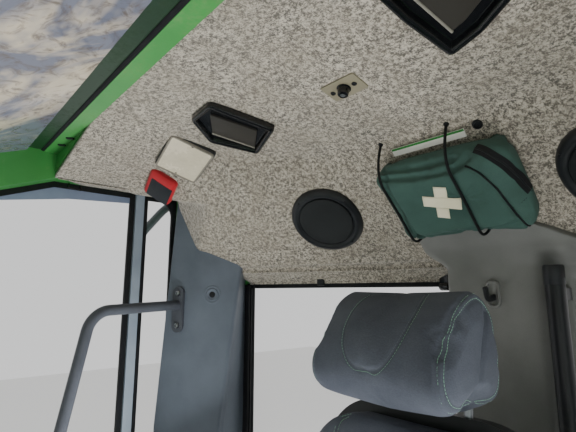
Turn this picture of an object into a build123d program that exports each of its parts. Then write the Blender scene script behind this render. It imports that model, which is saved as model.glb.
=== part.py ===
"""Operator's cab of a forestry harvester: a hollow steel cab with its glass, felt headliner, trims and seat.

Millimetres. X runs across the cab (+X is the operator's left), the seat looks along -Y, +Z is up.
The origin is on the ground, at the centre of the bolts through the four rubber feet.
"""
from build123d import *
from math import cos, radians, sin, tan
import os

os.makedirs("parts", exist_ok=True)

# Base and floor
foot_height = 60
foot_radius = 55
foot_bolt_radius = 8.5
foot_y = 560
floor_depth = 90
floor_plate = 10
floor_rim = 60
floor_top = foot_height + floor_depth

# Side walls, as seen along X
half_width = 820
wall = 40
beam_inner = half_width - 85
foot_x = half_width - 200
glass = 6
seal_width = 14
seal_depth = 9
side_inner = half_width - wall
pillar_front_y = 537
post_front_y = pillar_front_y - 127
post_width = 24
sill_height = 470
opening_top = 1780
roof_knee_y = 200
roof_slope = 20
beam_depth = 100
door_gap = 8

# Front: the windscreen leans back above the lower panel
front_y = -930
front_panel_top = 480
screen_rake = 12
pillar_depth = 70
header_depth = 60

# Roof
roof_bottom = opening_top + beam_depth
roof_skin_top = roof_bottom + 70
ceiling = roof_bottom - 34
cross_bar_width = 65
headliner_front_y = 190
headliner_thickness = 15
headliner_edge = ceiling - 274
slope_start_y = 325
trim_lean_z = headliner_edge - 422

# Rear: two flat windows meet behind a centre column
corner_x = half_width - 160
corner_y = pillar_front_y + 168
rear_slope = 0.3
rear_wall = 45
window_top = headliner_edge - 42
rear_sill = 900
column_low_x = -70
column_high_x = 160

# Interior pieces
tube_radius = 13
speaker_radius = 86
cone_radius = 64
seat_x = 24
seat_y = 150
clear = 0.3


def save(part, label):
    """Name a finished piece and write it."""
    part.label = label
    export_step(part, f"parts/{label}.step")


def save_seat(part, label):
    """Write a piece of the seat, which is drawn about X = 0 and stands at seat_x."""
    save(Pos(seat_x, 0, 0) * part, label)


def rear_y(x):
    """Inner line of the rear wall in plan."""
    return corner_y + rear_slope * (corner_x - abs(x))


def rake(z):
    """Outer line of the windscreen, seen from the side."""
    return front_y + tan(radians(screen_rake)) * max(z - front_panel_top, 0)


def slope_z(y):
    """Top line of the side openings: level at the rear, falling towards the front."""
    return opening_top - tan(radians(roof_slope)) * max(roof_knee_y - y, 0)


def meet(offset_y, offset_z):
    """Where the pillar line moved back by offset_y meets the roof line moved up by offset_z."""
    lean, fall = tan(radians(screen_rake)), tan(radians(roof_slope))
    level = opening_top + offset_z - fall * roof_knee_y
    y = (front_y + offset_y + lean * (level - front_panel_top)) / (1 - lean * fall)
    return (y, level + fall * y)


rear_lean = (1 + rear_slope**2) ** 0.5
rear_dx = rear_wall * rear_slope / rear_lean
rear_dy = rear_wall / rear_lean


def rear_outline(x):
    """Inner and outer point of the rear wall at a place across the cab."""
    side = 1 if x > 0 else -1
    return (x, rear_y(x)), (x + side * rear_dx, rear_y(x) + rear_dy)


# Facets of the ceiling: plane normal, then a point on the plane
right_speaker = (369 - corner_x, corner_y - 34, ceiling - 176.9)
left_speaker = (corner_x - 395, corner_y - 22.6, ceiling - 176.9)
facet_table = [
    ((0, 0, 1), (0, 0, ceiling)),
    ((0, 0.247, 1), (0, slope_start_y, ceiling)),
    ((0, 1, 1), (0, corner_y + 95, headliner_edge)),
]
for side, speaker in ((-1, right_speaker), (1, left_speaker)):
    facet_table += [
        ((side * 0.22, 0, 1), (side * (beam_inner - 315), 0, ceiling)),
        ((side * 0.289, 0.657, 0.697), speaker),
    ]
corner_facets = [
    ((-0.119, 0.948, 0.297), (corner_x + 5, corner_y - 147, headliner_edge + 24)),
    ((-0.24, 0, 1), (corner_x, 0, ceiling - 99)),
    ((0.22, 0, 1), (beam_inner - 315, 0, ceiling)),
]


def corner_room(grow):
    """Space in the rear corners, where the felt runs up to the pillar trim."""
    with BuildPart() as room:
        with Locations((corner_x - 160, headliner_front_y, headliner_edge)):
            Box(beam_inner - corner_x + 160, corner_y - headliner_front_y, opening_top - headliner_edge,
                align=(Align.MIN, Align.MIN, Align.MIN))
        for normal, point in corner_facets:
            outwards = Vector(*normal).normalized()
            split(bisect_by=Plane(origin=Vector(*point) + grow * outwards, z_dir=outwards),
                  keep=Keep.BOTTOM)
        mirror(about=Plane.YZ)
    return room.part


def vault(grow, bottom):
    """Space under the ceiling, as a block cut by the facets, each moved out by grow."""
    with BuildPart() as space:
        with BuildSketch(Plane.XY.offset(bottom)):
            with Locations((0, headliner_front_y)):
                Rectangle(2 * beam_inner, rear_y(0) - headliner_front_y, align=(Align.CENTER, Align.MIN))
        extrude(amount=roof_skin_top - bottom - 1)
        for normal, point in facet_table:
            outwards = Vector(*normal).normalized()
            split(bisect_by=Plane(origin=Vector(*point) + grow * outwards, z_dir=outwards),
                  keep=Keep.BOTTOM)
        add(corner_room(grow))
    return space.part


air = vault(0, headliner_edge)
liner_back = vault(headliner_thickness, headliner_edge)

# Rubber feet with their bolt bores
foot_places = [(x, y) for x in (-foot_x, foot_x) for y in (-foot_y, foot_y)]
with BuildPart() as feet:
    with BuildSketch():
        with Locations(*foot_places):
            Circle(foot_radius)
            Circle(foot_bolt_radius, mode=Mode.SUBTRACT)
    extrude(amount=foot_height)
save(feet.part, "rubber_feet")

# Plan of the cab, half of it mirrored
half_plan = [
    (0, front_y),
    (half_width, front_y),
    (half_width, corner_y - 45),
    (corner_x + 90, corner_y + 35),
    rear_outline(corner_x)[1],
    (0, rear_y(0) + rear_dy),
]

with BuildPart() as floor_frame:
    with BuildSketch(Plane.XY.offset(foot_height)) as floor_plan:
        with BuildLine():
            Polyline(half_plan, close=True)
        make_face()
        mirror(about=Plane.YZ)
    extrude(amount=floor_depth)
    with BuildSketch(Plane.XY.offset(foot_height)):
        offset(floor_plan.sketch.faces()[0], amount=-floor_rim, kind=Kind.INTERSECTION)
    extrude(amount=floor_depth - floor_plate, mode=Mode.SUBTRACT)
    with BuildSketch(Plane.XY.offset(foot_height)):
        with Locations(*foot_places):
            Rectangle(2 * (half_width - foot_x) - 20, 2 * foot_radius + 20)
    extrude(amount=floor_depth)
    with Locations(*[(x, y, foot_height) for x, y in foot_places]):
        Hole(foot_bolt_radius, depth=2 * floor_depth)
save(floor_frame.part, "floor_frame")


def side_plate(points, low, high):
    """Solid with an outline drawn along X, on both sides of the cab."""
    with BuildPart() as plate:
        with BuildSketch(Plane.YZ.offset(low)):
            with BuildLine():
                Polyline(points, close=True)
            make_face()
        extrude(amount=high - low)
        mirror(about=Plane.YZ)
    return plate.part


# Front pillars, from the floor to the roof beams
pillar_foot = [(front_y, floor_top), (front_y, front_panel_top)]
pillar_back = [(front_y + pillar_depth, front_panel_top), (front_y + pillar_depth, floor_top)]
save(side_plate(pillar_foot + [meet(0, beam_depth), meet(pillar_depth, beam_depth)] + pillar_back,
                beam_inner, half_width), "front_pillars")

# Roof beams above the side openings
beam_front = meet(pillar_depth, 0)
save(side_plate([(pillar_front_y, opening_top), (roof_knee_y, opening_top), beam_front,
                 meet(pillar_depth, beam_depth), (roof_knee_y, roof_bottom),
                 (pillar_front_y, roof_bottom)], beam_inner, half_width), "roof_side_beams")

# Rear corner pillars: steel outside, trim inside
pillar_steel = [
    (half_width, pillar_front_y),
    (beam_inner - 5, pillar_front_y),
    (corner_x + 40, corner_y - 105),
    (corner_x, corner_y),
    rear_outline(corner_x)[1],
    (corner_x + 90, corner_y + 35),
    (half_width, corner_y - 45),
]
with BuildPart() as rear_pillars:
    with BuildSketch(Plane.XY.offset(floor_top)):
        with BuildLine():
            Polyline(pillar_steel, close=True)
        make_face()
        mirror(about=Plane.YZ)
    extrude(amount=roof_bottom - floor_top)
save(rear_pillars.part, "rear_pillars")

# Plan of the pillar trim low down and at the top; it leans inwards above trim_lean_z
trim_rear = [(corner_x, corner_y), (corner_x + 40, corner_y - 105), (beam_inner - 5, pillar_front_y),
             (side_inner, pillar_front_y)]
trim_low = [(side_inner - 1, pillar_front_y - 43), (corner_x + 49, pillar_front_y - 11),
            (corner_x - 37, corner_y - 102), (corner_x - 20, corner_y - 81)] + trim_rear
trim_high = [(side_inner - 40, pillar_front_y - 18.5), (corner_x - 15.4, pillar_front_y + 37.7),
             (corner_x - 88.5, corner_y - 48), (corner_x - 71.5, corner_y - 26.6)] + trim_rear


def trim_section(points, height):
    """Plan of one pillar trim at a height, on the left side."""
    with BuildSketch(Plane.XY.offset(height)) as section:
        with BuildLine():
            Polyline(points, close=True)
        make_face()
    return section.sketch


with BuildPart() as trim_room:
    add(air)
    for side in (-1, 1):
        with Locations((side * (beam_inner + side_inner) / 2, pillar_front_y - 40, headliner_edge)):
            Box(side_inner - beam_inner, 80, opening_top - headliner_edge,
                align=(Align.CENTER, Align.CENTER, Align.MIN))

with BuildPart() as leaning_trim:
    loft([trim_section(trim_low, trim_lean_z), trim_section(trim_high, opening_top)], ruled=True)
    mirror(about=Plane.YZ)

with BuildPart() as pillar_trim:
    add(leaning_trim.part)
    add(trim_room.part, mode=Mode.INTERSECT)
    add(split(leaning_trim.part, bisect_by=Plane.XY.offset(headliner_edge), keep=Keep.BOTTOM,
              mode=Mode.PRIVATE))
    for side in (-1, 1):
        with BuildSketch(Plane.XY.offset(floor_top)):
            with BuildLine():
                Polyline([(side * x, y) for x, y in trim_low], close=True)
            make_face()
        extrude(amount=trim_lean_z - floor_top)
save(pillar_trim.part, "pillar_trims")


def side_opening(bottom):
    """Outline of the opening between the post, the roof beam and the front pillar."""
    front = [(rake(front_panel_top) + pillar_depth, front_panel_top)] if bottom < front_panel_top else []
    low = rake(bottom) + pillar_depth
    return [(post_front_y, opening_top), (roof_knee_y, opening_top), beam_front] + front + [
        (low, bottom), (post_front_y, bottom)]


quarter_low_y = post_front_y + post_width


def quarter_opening(bottom):
    """Outline of the narrow quarter window behind the post."""
    return [(quarter_low_y, opening_top), (pillar_front_y, opening_top), (pillar_front_y, bottom),
            (quarter_low_y, bottom)]


# Posts between the side windows; the left one carries the door
with BuildPart() as side_posts:
    for side, bottom in ((-1, sill_height), (1, floor_top)):
        with BuildSketch(Plane.XY.offset(bottom)):
            with Locations((side * (half_width - wall / 2), post_front_y + post_width / 2)):
                Rectangle(wall, post_width)
        extrude(amount=opening_top - bottom)
save(side_posts.part, "side_posts")

# Lower body panels
right_panel_top = rake(sill_height) + pillar_depth
with BuildPart() as right_panel:
    with BuildSketch(Plane.YZ.offset(-half_width)):
        with BuildLine():
            Polyline((pillar_front_y, sill_height), (right_panel_top, sill_height),
                     (front_y + pillar_depth, floor_top), (pillar_front_y, floor_top), close=True)
        make_face()
    extrude(amount=wall)

with BuildPart() as left_panel:
    with BuildSketch(Plane.YZ.offset(side_inner)):
        with BuildLine():
            Polyline((pillar_front_y, sill_height), (quarter_low_y, sill_height),
                     (quarter_low_y, floor_top), (pillar_front_y, floor_top), close=True)
        make_face()
    extrude(amount=wall)
with BuildPart() as side_panels:
    add(right_panel.part)
    add(left_panel.part)
save(side_panels.part, "side_lower_panels")

with BuildPart() as front_panel:
    with BuildSketch(Plane.YZ.offset(-beam_inner)):
        with BuildLine():
            Polyline((front_y, floor_top), (front_y, front_panel_top), (front_y + wall, front_panel_top),
                     (front_y + wall, floor_top), close=True)
        make_face()
    extrude(amount=2 * beam_inner)
save(front_panel.part, "front_lower_panel")

# Roof: header above the windscreen, cross bar ahead of the headliner
with BuildPart() as front_header:
    with BuildSketch(Plane.YZ.offset(-beam_inner)):
        with BuildLine():
            Polyline(meet(0, 0), meet(header_depth, 0), meet(header_depth, beam_depth),
                     meet(0, beam_depth), close=True)
        make_face()
    extrude(amount=2 * beam_inner)
save(front_header.part, "front_header")

cross_front_y = headliner_front_y - cross_bar_width
with BuildPart() as cross_bar:
    with BuildSketch(Plane.YZ.offset(-beam_inner)):
        with BuildLine():
            Polyline((cross_front_y, ceiling - 6), (cross_front_y + 22, ceiling - 6),
                     (cross_front_y + 26, ceiling), (cross_front_y + 32, ceiling),
                     (cross_front_y + 36, ceiling - 10), (headliner_front_y, ceiling - 10),
                     (headliner_front_y, roof_bottom),
                     (cross_front_y, roof_bottom), close=True)
        make_face()
    extrude(amount=2 * beam_inner)
save(cross_bar.part, "roof_cross_bar")

# Headliner, and the roof shell that it lines
with BuildPart() as headliner:
    add(liner_back)
    add(air, mode=Mode.SUBTRACT)
    add(pillar_trim.part, mode=Mode.SUBTRACT)
    add(rear_pillars.part, mode=Mode.SUBTRACT)
save(headliner.part, "headliner")

roof_block = [
    (0, headliner_front_y),
    (beam_inner, headliner_front_y),
    (beam_inner, pillar_front_y),
    (beam_inner - 5, pillar_front_y),
    (corner_x + 40, corner_y - 105),
    (corner_x, corner_y),
    rear_outline(corner_x)[1],
    (0, rear_y(0) + rear_dy),
]
roof_cap = [
    (0, cross_front_y),
    (half_width, cross_front_y),
    (half_width, corner_y - 45),
    (corner_x + 90, corner_y + 35),
    rear_outline(corner_x)[1],
    (0, rear_y(0) + rear_dy),
]
with BuildPart() as roof_shell:
    with BuildSketch(Plane.XY.offset(roof_bottom)):
        with BuildLine():
            Polyline(roof_cap, close=True)
        make_face()
        mirror(about=Plane.YZ)
    extrude(amount=roof_skin_top - roof_bottom)
    chamfer(roof_shell.faces().sort_by(Axis.Z)[-1].edges(), 24)
    with BuildSketch(Plane.XY.offset(headliner_edge)):
        with BuildLine():
            Polyline(roof_block, close=True)
        make_face()
        mirror(about=Plane.YZ)
    extrude(amount=roof_bottom - headliner_edge)
    add(liner_back, mode=Mode.SUBTRACT)
save(roof_shell.part, "roof_shell")


def rear_band(low_x, high_x, near, far):
    """Plan of a strip of the rear wall between two places, from near to far behind its inner line."""
    side = 1 if high_x > 0 else -1

    def place(x, depth):
        return (x + side * depth * rear_dx / rear_wall, rear_y(x) + depth * rear_dy / rear_wall)

    return [place(low_x, near), place(high_x, near), place(high_x, far), place(low_x, far)]


rear_sides = [(-corner_x, column_low_x), (column_high_x, corner_x)]


def rear_wall_part(bottom, top, near=0.0, far=rear_wall, sides=rear_sides):
    """Upright band of the rear wall on each side of the column."""
    with BuildPart() as band:
        for low_x, high_x in sides:
            with BuildSketch(Plane.XY.offset(bottom)):
                with BuildLine():
                    Polyline(rear_band(low_x, high_x, near, far), close=True)
                make_face()
            extrude(amount=top - bottom)
    return band.part


save(rear_wall_part(window_top, headliner_edge), "rear_headers")
save(rear_wall_part(floor_top, rear_sill), "rear_lower_panels")

with BuildPart() as column:
    with BuildSketch(Plane.XY.offset(floor_top)):
        with BuildLine():
            Polyline(rear_outline(column_low_x)[0], (0, rear_y(0)), rear_outline(column_high_x)[0],
                     rear_outline(column_high_x)[1], (0, rear_y(0) + rear_dy),
                     rear_outline(column_low_x)[1], close=True)
        make_face()
    extrude(amount=headliner_edge - floor_top)
save(column.part, "rear_column")

# Column trim with its flange against the headliner
trim_face_y = corner_y + 57
column_trim_plan = [
    rear_outline(column_low_x)[0],
    (column_low_x + 6, trim_face_y + 30),
    (column_low_x + 26, trim_face_y),
    (104, trim_face_y),
    (122, trim_face_y + 22),
    (122, rear_y(122)),
    (0, rear_y(0)),
]
with BuildPart() as column_trim:
    with BuildSketch(Plane.XY.offset(headliner_edge - 40)):
        with BuildLine():
            Polyline(column_trim_plan, close=True)
        make_face()
        with Locations((12, trim_face_y + 14)):
            RectangleRounded(236, 58, 12)
    extrude(amount=110)
    add(vault(0, headliner_edge - 60), mode=Mode.INTERSECT)
    with BuildSketch(Plane.XY.offset(floor_top)):
        with BuildLine():
            Polyline(column_trim_plan, close=True)
        make_face()
    extrude(amount=headliner_edge - 40 - floor_top)
save(column_trim.part, "column_trim")

# Glass
window_plane = half_width - wall / 2 - glass / 2


def side_glass(panes, label):
    """Panes in the middle of the side walls, each with its outline and its side."""
    with BuildPart() as pane:
        for points, side in panes:
            low = window_plane if side > 0 else -window_plane - glass
            with BuildSketch(Plane.YZ.offset(low)):
                with BuildLine():
                    Polyline(points, close=True)
                make_face()
            extrude(amount=glass)
    save(pane.part, label)


side_glass([(side_opening(sill_height), -1)], "right_side_glass")
side_glass([(quarter_opening(sill_height), -1), (quarter_opening(sill_height), 1)], "quarter_glass")
rear_mid = (rear_wall - glass) / 2
save(rear_wall_part(rear_sill, window_top, rear_mid, rear_mid + glass), "rear_glass")

screen_back = wall / 2
with BuildPart() as windscreen:
    with BuildSketch(Plane.YZ.offset(-beam_inner)):
        with BuildLine():
            Polyline((front_y + screen_back, front_panel_top), meet(screen_back, 0),
                     meet(screen_back + glass, 0), (front_y + screen_back + glass, front_panel_top),
                     close=True)
        make_face()
    extrude(amount=2 * beam_inner)
save(windscreen.part, "windscreen")

roof_glass_rise = beam_depth - 14
with BuildPart() as roof_glass:
    with BuildSketch(Plane.YZ.offset(-beam_inner)):
        with BuildLine():
            Polyline((cross_front_y, slope_z(cross_front_y) + roof_glass_rise),
                     meet(header_depth, roof_glass_rise), meet(header_depth, roof_glass_rise - glass),
                     (cross_front_y, slope_z(cross_front_y) + roof_glass_rise - glass), close=True)
        make_face()
    extrude(amount=2 * beam_inner)
save(roof_glass.part, "roof_glass")

# Rubber seals, as rings on the inner face of the panes
with BuildPart() as seals:
    for side, points in ((-1, side_opening(sill_height)), (-1, quarter_opening(sill_height)),
                         (1, quarter_opening(sill_height))):
        low = window_plane - seal_depth if side > 0 else -window_plane
        with BuildSketch(Plane.YZ.offset(low)):
            with BuildLine():
                Polyline(points, close=True)
            outline = make_face()
            offset(outline.faces()[0], amount=-seal_width, kind=Kind.INTERSECTION, mode=Mode.SUBTRACT)
        extrude(amount=seal_depth)
    add(rear_wall_part(rear_sill, window_top, rear_mid - seal_depth, rear_mid))
    add(rear_wall_part(rear_sill + seal_width, window_top - seal_width, rear_mid - seal_depth, rear_mid,
                       [(low + seal_width, high - seal_width) for low, high in rear_sides]),
        mode=Mode.SUBTRACT)
save(seals.part, "window_seals")

# Door on the left, hinged on the rear post
door_edge = 58
hinge_x = half_width + 26
hinge_y = post_front_y + 14
knuckle_radius = 12
pin_radius = 6
pin_fit = 0.06
knuckle_height = 40
lug_height = 20
hinge_heights = (sill_height - 50, opening_top - 480)
with BuildPart() as door_frame:
    with BuildSketch(Plane.YZ.offset(side_inner)):
        with BuildLine():
            Polyline(side_opening(floor_top), close=True)
        opening = make_face()
        leaf = offset(opening.faces()[0], amount=-door_gap, kind=Kind.INTERSECTION, mode=Mode.REPLACE)
        offset(leaf.faces()[0], amount=-door_edge, kind=Kind.INTERSECTION, mode=Mode.SUBTRACT)
    extrude(amount=wall)
    for height in hinge_heights:
        with BuildSketch(Plane.XY.offset(height - knuckle_height / 2)):
            with Locations((half_width + 13, hinge_y - 60)):
                Rectangle(26, 60)
            with Locations((hinge_x - 6, hinge_y - 20)):
                Rectangle(12, 40)
            with Locations((hinge_x, hinge_y)):
                Circle(knuckle_radius)
                Circle(pin_radius + pin_fit, mode=Mode.SUBTRACT)
        extrude(amount=knuckle_height)
save(door_frame.part, "door_frame")

with BuildPart() as door_glass:
    with BuildSketch(Plane.YZ.offset(window_plane)):
        with BuildLine():
            Polyline(side_opening(floor_top), close=True)
        opening = make_face()
        offset(opening.faces()[0], amount=-door_gap - door_edge, kind=Kind.INTERSECTION, mode=Mode.REPLACE)
    extrude(amount=glass)
save(door_glass.part, "door_glass")

with BuildPart() as door_hinges:
    for height in hinge_heights:
        for step in (-1, 1):
            middle = height + step * (knuckle_height / 2 + lug_height / 2 + 1)
            with BuildSketch(Plane.XY.offset(middle - lug_height / 2)):
                with Locations((half_width + 13, hinge_y)):
                    Rectangle(26, 2 * knuckle_radius - 4)
                with Locations((hinge_x, hinge_y)):
                    Circle(knuckle_radius)
            extrude(amount=lug_height)
        with BuildSketch(Plane.XY.offset(height - knuckle_height / 2 - 2)):
            with Locations((hinge_x, hinge_y)):
                Circle(pin_radius)
        extrude(amount=knuckle_height + 4)
save(door_hinges.part, "door_hinge_pins")


def bar(points, bend, radius, at):
    """Round bar along straight runs joined by arcs."""
    with BuildPart() as rod:
        with BuildLine() as route:
            FilletPolyline(*points, radius=bend)
        with BuildSketch(Plane(origin=points[0], z_dir=at)):
            Circle(radius)
        sweep(path=route.wires()[0])
    return rod.part


# Grab rails, with the plate of the right one on the pillar trim
rail_x = -(corner_x - 5)
rail_top = headliner_edge - 102
rail_foot = (-corner_x - 62, pillar_front_y - 11, rail_top)
rail_front_y = pillar_front_y - 295
with BuildPart() as right_rail:
    add(bar([rail_foot, (rail_x - 10, rail_front_y + 36, rail_top - 10),
             (rail_x - 14, rail_front_y - 10, rail_top - 270), (rail_x - 20, rail_front_y - 20, sill_height + 90),
             (-side_inner, rail_front_y - 20, sill_height - 70)], 55, tube_radius, (0, -1, 0)))
    with BuildSketch(Plane(origin=rail_foot, x_dir=(0, 0, 1), z_dir=(0.468, -0.884, 0)).offset(-6)):
        with Locations((-12, 0)):
            SlotOverall(124, 34)
    extrude(amount=14)
    add(pillar_trim.part, mode=Mode.SUBTRACT)
    add(right_panel.part, mode=Mode.SUBTRACT)
save(right_rail.part, "right_grab_rail")

tube_x, tube_y = column_high_x - 13, corner_y + 40
tube_top = headliner_edge - 27
with BuildPart() as rear_tube:
    with BuildSketch(Plane.XY.offset(rear_sill - 40)):
        with Locations((tube_x, tube_y)):
            Circle(15)
    extrude(amount=tube_top - rear_sill + 40)
    for height in (rear_sill, tube_top - 55):
        with BuildSketch(Plane.XY.offset(height)):
            with Locations((tube_x, tube_y)):
                Rectangle(12, 180, align=(Align.CENTER, Align.MIN))
        extrude(amount=20)
    add(column.part, mode=Mode.SUBTRACT)
    split(bisect_by=Plane(origin=(0, rear_y(0) - 10, 0), z_dir=(0, 1, 0)), keep=Keep.BOTTOM)
save(rear_tube.part, "rear_grab_tube")

outer_x = half_width + 130
outer_y = pillar_front_y - 37
outer_route = [(half_width, outer_y + 90, opening_top + 10), (outer_x, outer_y + 85, opening_top + 15),
               (outer_x, outer_y, opening_top - 90), (outer_x, outer_y, sill_height + 310),
               (half_width, outer_y + 70, sill_height + 230)]
with BuildPart() as outer_rails:
    add(bar(outer_route, 45, tube_radius, (1, 0, 0)))
    mirror(about=Plane.YZ)
    add(rear_pillars.part, mode=Mode.SUBTRACT)
save(outer_rails.part, "outer_grab_rails")

door_rail_y = post_front_y - 38
door_rail_x = side_inner - 55
with BuildPart() as door_rail:
    add(bar([(side_inner, door_rail_y, sill_height + 770), (door_rail_x, door_rail_y, sill_height + 770),
             (door_rail_x, door_rail_y, sill_height + 150), (side_inner, door_rail_y, sill_height + 150)],
            40, tube_radius, (-1, 0, 0)))
save(door_rail.part, "door_grab_rail")

handle_z = sill_height + 170
handle_y = rake(handle_z) + pillar_depth + door_gap + door_edge / 2
with BuildPart() as door_handle:
    with BuildSketch(Plane.YZ.offset(half_width)):
        with Locations((handle_y, handle_z)):
            RectangleRounded(40, 150, 10)
    extrude(amount=10)
    with BuildSketch(Plane.YZ.offset(half_width + 10)):
        with Locations((handle_y, handle_z + 50), (handle_y, handle_z - 50)):
            Circle(9)
    extrude(amount=24)
    with BuildSketch(Plane.YZ.offset(half_width + 34)):
        with Locations((handle_y, handle_z)):
            RectangleRounded(24, 140, 10)
    extrude(amount=12)
save(door_handle.part, "door_handle")

# Ceiling fittings sit on planes that face down into the cab
corner_facet = Vector(0.289, -0.657, -0.697)
gentle = Vector(0, -0.247, -1)
speaker_planes = [
    Plane(origin=right_speaker, z_dir=corner_facet),
    Plane(origin=left_speaker, z_dir=Vector(-0.289, -0.657, -0.697)),
]
speaker_depth = 12
with BuildPart() as speakers:
    for plane in speaker_planes:
        with BuildSketch(plane.offset(clear)):
            Circle(speaker_radius)
        extrude(amount=speaker_depth, taper=25)
        with BuildSketch(plane.offset(clear + speaker_depth)):
            Circle(cone_radius)
        extrude(amount=-8, mode=Mode.SUBTRACT)
    add(headliner.part, mode=Mode.SUBTRACT)
save(speakers.part, "speakers")

dome_plane = Plane(origin=(170 - corner_x, corner_y - 305, ceiling - 37), x_dir=(67, 82, -18),
                   z_dir=(0.22, -0.38, -0.90))
with BuildPart() as dome:
    with BuildSketch(dome_plane.offset(-20)):
        RectangleRounded(106, 122, 8)
    extrude(amount=20)
    with BuildSketch(dome_plane):
        RectangleRounded(86, 102, 6)
    extrude(amount=3, taper=20)
    add(liner_back, mode=Mode.INTERSECT)
    add(headliner.part, mode=Mode.SUBTRACT)
save(dome.part, "dome_light")

box_plane = Plane(origin=(37 - corner_x, corner_y - 301, ceiling - 83), x_dir=(-74, 9, -47),
                  z_dir=corner_facet)
with BuildPart() as red_box:
    with BuildSketch(box_plane.offset(-30)):
        RectangleRounded(88, 75, 6)
    extrude(amount=30)
    add(air, mode=Mode.INTERSECT)
save(red_box.part, "red_switch_box")

# Two low black air outlets with an open mouth, each drawn by its corners in plan
outlet_depth = 14
outlet_rim = 16
right_outlet = [(-246, 324), (-204, 445), (-312, 488), (-369, 401), (-325, 331)]
left_outlet = [(225, 262), (128, 292), (133, 369), (148, 453), (200, 436), (262, 400)]
outlet_plane = Plane(origin=(0, slope_start_y, ceiling), x_dir=(1, 0, 0), z_dir=gentle)
with BuildPart() as outlets:
    for corners in (right_outlet, left_outlet):
        flat = [outlet_plane.to_local_coords(Vector(x, y, ceiling - 0.247 * (y - slope_start_y)))
                for x, y in corners]
        with BuildSketch(outlet_plane.offset(clear)) as rim:
            with BuildLine():
                Polyline([(p.X, p.Y) for p in flat], close=True)
            make_face()
            fillet(rim.vertices(), 9)
        extrude(amount=outlet_depth)
        with BuildSketch(outlet_plane.offset(outlet_depth + clear)) as mouth:
            with BuildLine():
                Polyline([(p.X, p.Y) for p in flat], close=True)
            face = make_face()
            offset(face.faces()[0], amount=-outlet_rim, kind=Kind.INTERSECTION, mode=Mode.REPLACE)
        extrude(amount=3 - outlet_depth, mode=Mode.SUBTRACT)
    add(air, mode=Mode.INTERSECT)
save(outlets.part, "air_outlets")

plate_plane = Plane(origin=(-20, corner_y - 273, ceiling - 26), x_dir=(1, 0, 0), z_dir=gentle)
with BuildPart() as knob_plate:
    with BuildSketch(plate_plane):
        RectangleRounded(68, 40, 4)
    extrude(amount=3)
    with BuildSketch(plate_plane.offset(3)):
        Circle(9)
    extrude(amount=14, taper=8)
    add(air, mode=Mode.INTERSECT)
save(knob_plate.part, "ceiling_knob_plate")

# First aid bag on the rear slope, held by two elastic cords
bag_x = 27
bag_y = corner_y - 27
bag_width, bag_height, bag_depth, bag_round = 254, 178, 56, 22
bag_plane = Plane(origin=(bag_x, bag_y, corner_y + 95 + headliner_edge - bag_y), x_dir=(1, 0, 0),
                  z_dir=(0, -1, -1))
with BuildPart() as bag:
    with BuildSketch(bag_plane.offset(clear)):
        RectangleRounded(bag_width, bag_height, 30)
    extrude(amount=bag_depth)
    fillet(bag.faces().sort_by(Axis(bag_plane.origin, bag_plane.z_dir))[-1].edges(), bag_round)
save(bag.part, "first_aid_bag")

cord_radius = 2.5
cord_gap = cord_radius + 0.6
with BuildPart() as bag_cords:
    for x in (-100, 33):
        top = bag_height / 2 + cord_gap
        proud = bag_depth + clear + cord_gap
        route = [bag_plane.from_local_coords(p) for p in (
            (x, top + 26, 3), (x, top - 10, proud), (x, -top, proud), (x, -top, 3))]
        with BuildLine() as path:
            FilletPolyline(*route, radius=bag_round + cord_gap)
        with BuildSketch(Plane(origin=route[0], z_dir=route[1] - route[0])):
            Circle(cord_radius)
        sweep(path=path.wires()[0])
save(bag_cords.part, "bag_cords")

with BuildPart() as card:
    with BuildSketch(bag_plane.offset(5)):
        with Locations((-12, bag_height / 2 + 8)):
            Rectangle(140, 15)
    extrude(amount=2)
save(card.part, "blank_card")

hook_x, hook_z = 40, headliner_edge - 72
with BuildPart() as coat_hook:
    with BuildSketch(Plane.XZ.offset(-trim_face_y)):
        with Locations((hook_x, hook_z)):
            RectangleRounded(26, 50, 8)
    extrude(amount=6)
    with BuildSketch(Plane.XZ.offset(-trim_face_y + 6)):
        with Locations((hook_x, hook_z - 12)):
            RectangleRounded(14, 16, 4)
    extrude(amount=24)
    with BuildSketch(Plane.XZ.offset(-trim_face_y + 22)):
        with Locations((hook_x, hook_z)):
            RectangleRounded(14, 28, 4)
    extrude(amount=8)
save(coat_hook.part, "coat_hook")

# Seat: pedestal, turntable and frame, then the pieces that it carries
mat = 4
seat_floor = floor_top + mat
turntable_low = 400
pan_low, pan_high = 430, 470
cushion_top = 585
back_y, back_z = 400, 500
back_lean = 8
side_x = 244
side_thick = 10
arm_y, arm_z = 385, 795

with BuildPart() as floor_mat:
    with BuildSketch(Plane.XY.offset(floor_top)):
        with Locations((0, (front_y + pillar_front_y) / 2)):
            RectangleRounded(2 * beam_inner - 70, pillar_front_y - front_y - 170, 40)
    extrude(amount=mat)
save(floor_mat.part, "floor_mat")

with BuildPart() as pedestal:
    with BuildSketch(Plane.XY.offset(seat_floor)):
        with Locations((0, seat_y)):
            RectangleRounded(420, 440, 30)
    extrude(amount=16)
    for step in range(5):
        with BuildSketch(Plane.XY.offset(seat_floor + 16 + 40 * step)):
            with Locations((0, seat_y)):
                RectangleRounded(330, 350, 40)
        extrude(amount=20)
        with BuildSketch(Plane.XY.offset(seat_floor + 36 + 40 * step)):
            with Locations((0, seat_y)):
                RectangleRounded(290, 310, 30)
        extrude(amount=20)
    with BuildSketch(Plane.XY.offset(seat_floor + 216)):
        with Locations((0, seat_y)):
            RectangleRounded(380, 400, 30)
    extrude(amount=turntable_low - clear - seat_floor - 216)
save_seat(pedestal.part, "seat_pedestal")

with BuildPart() as turntable:
    with BuildSketch(Plane.XY.offset(turntable_low)):
        with Locations((0, seat_y)):
            Circle(160)
    extrude(amount=pan_low - turntable_low)
save_seat(turntable.part, "seat_turntable")

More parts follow.
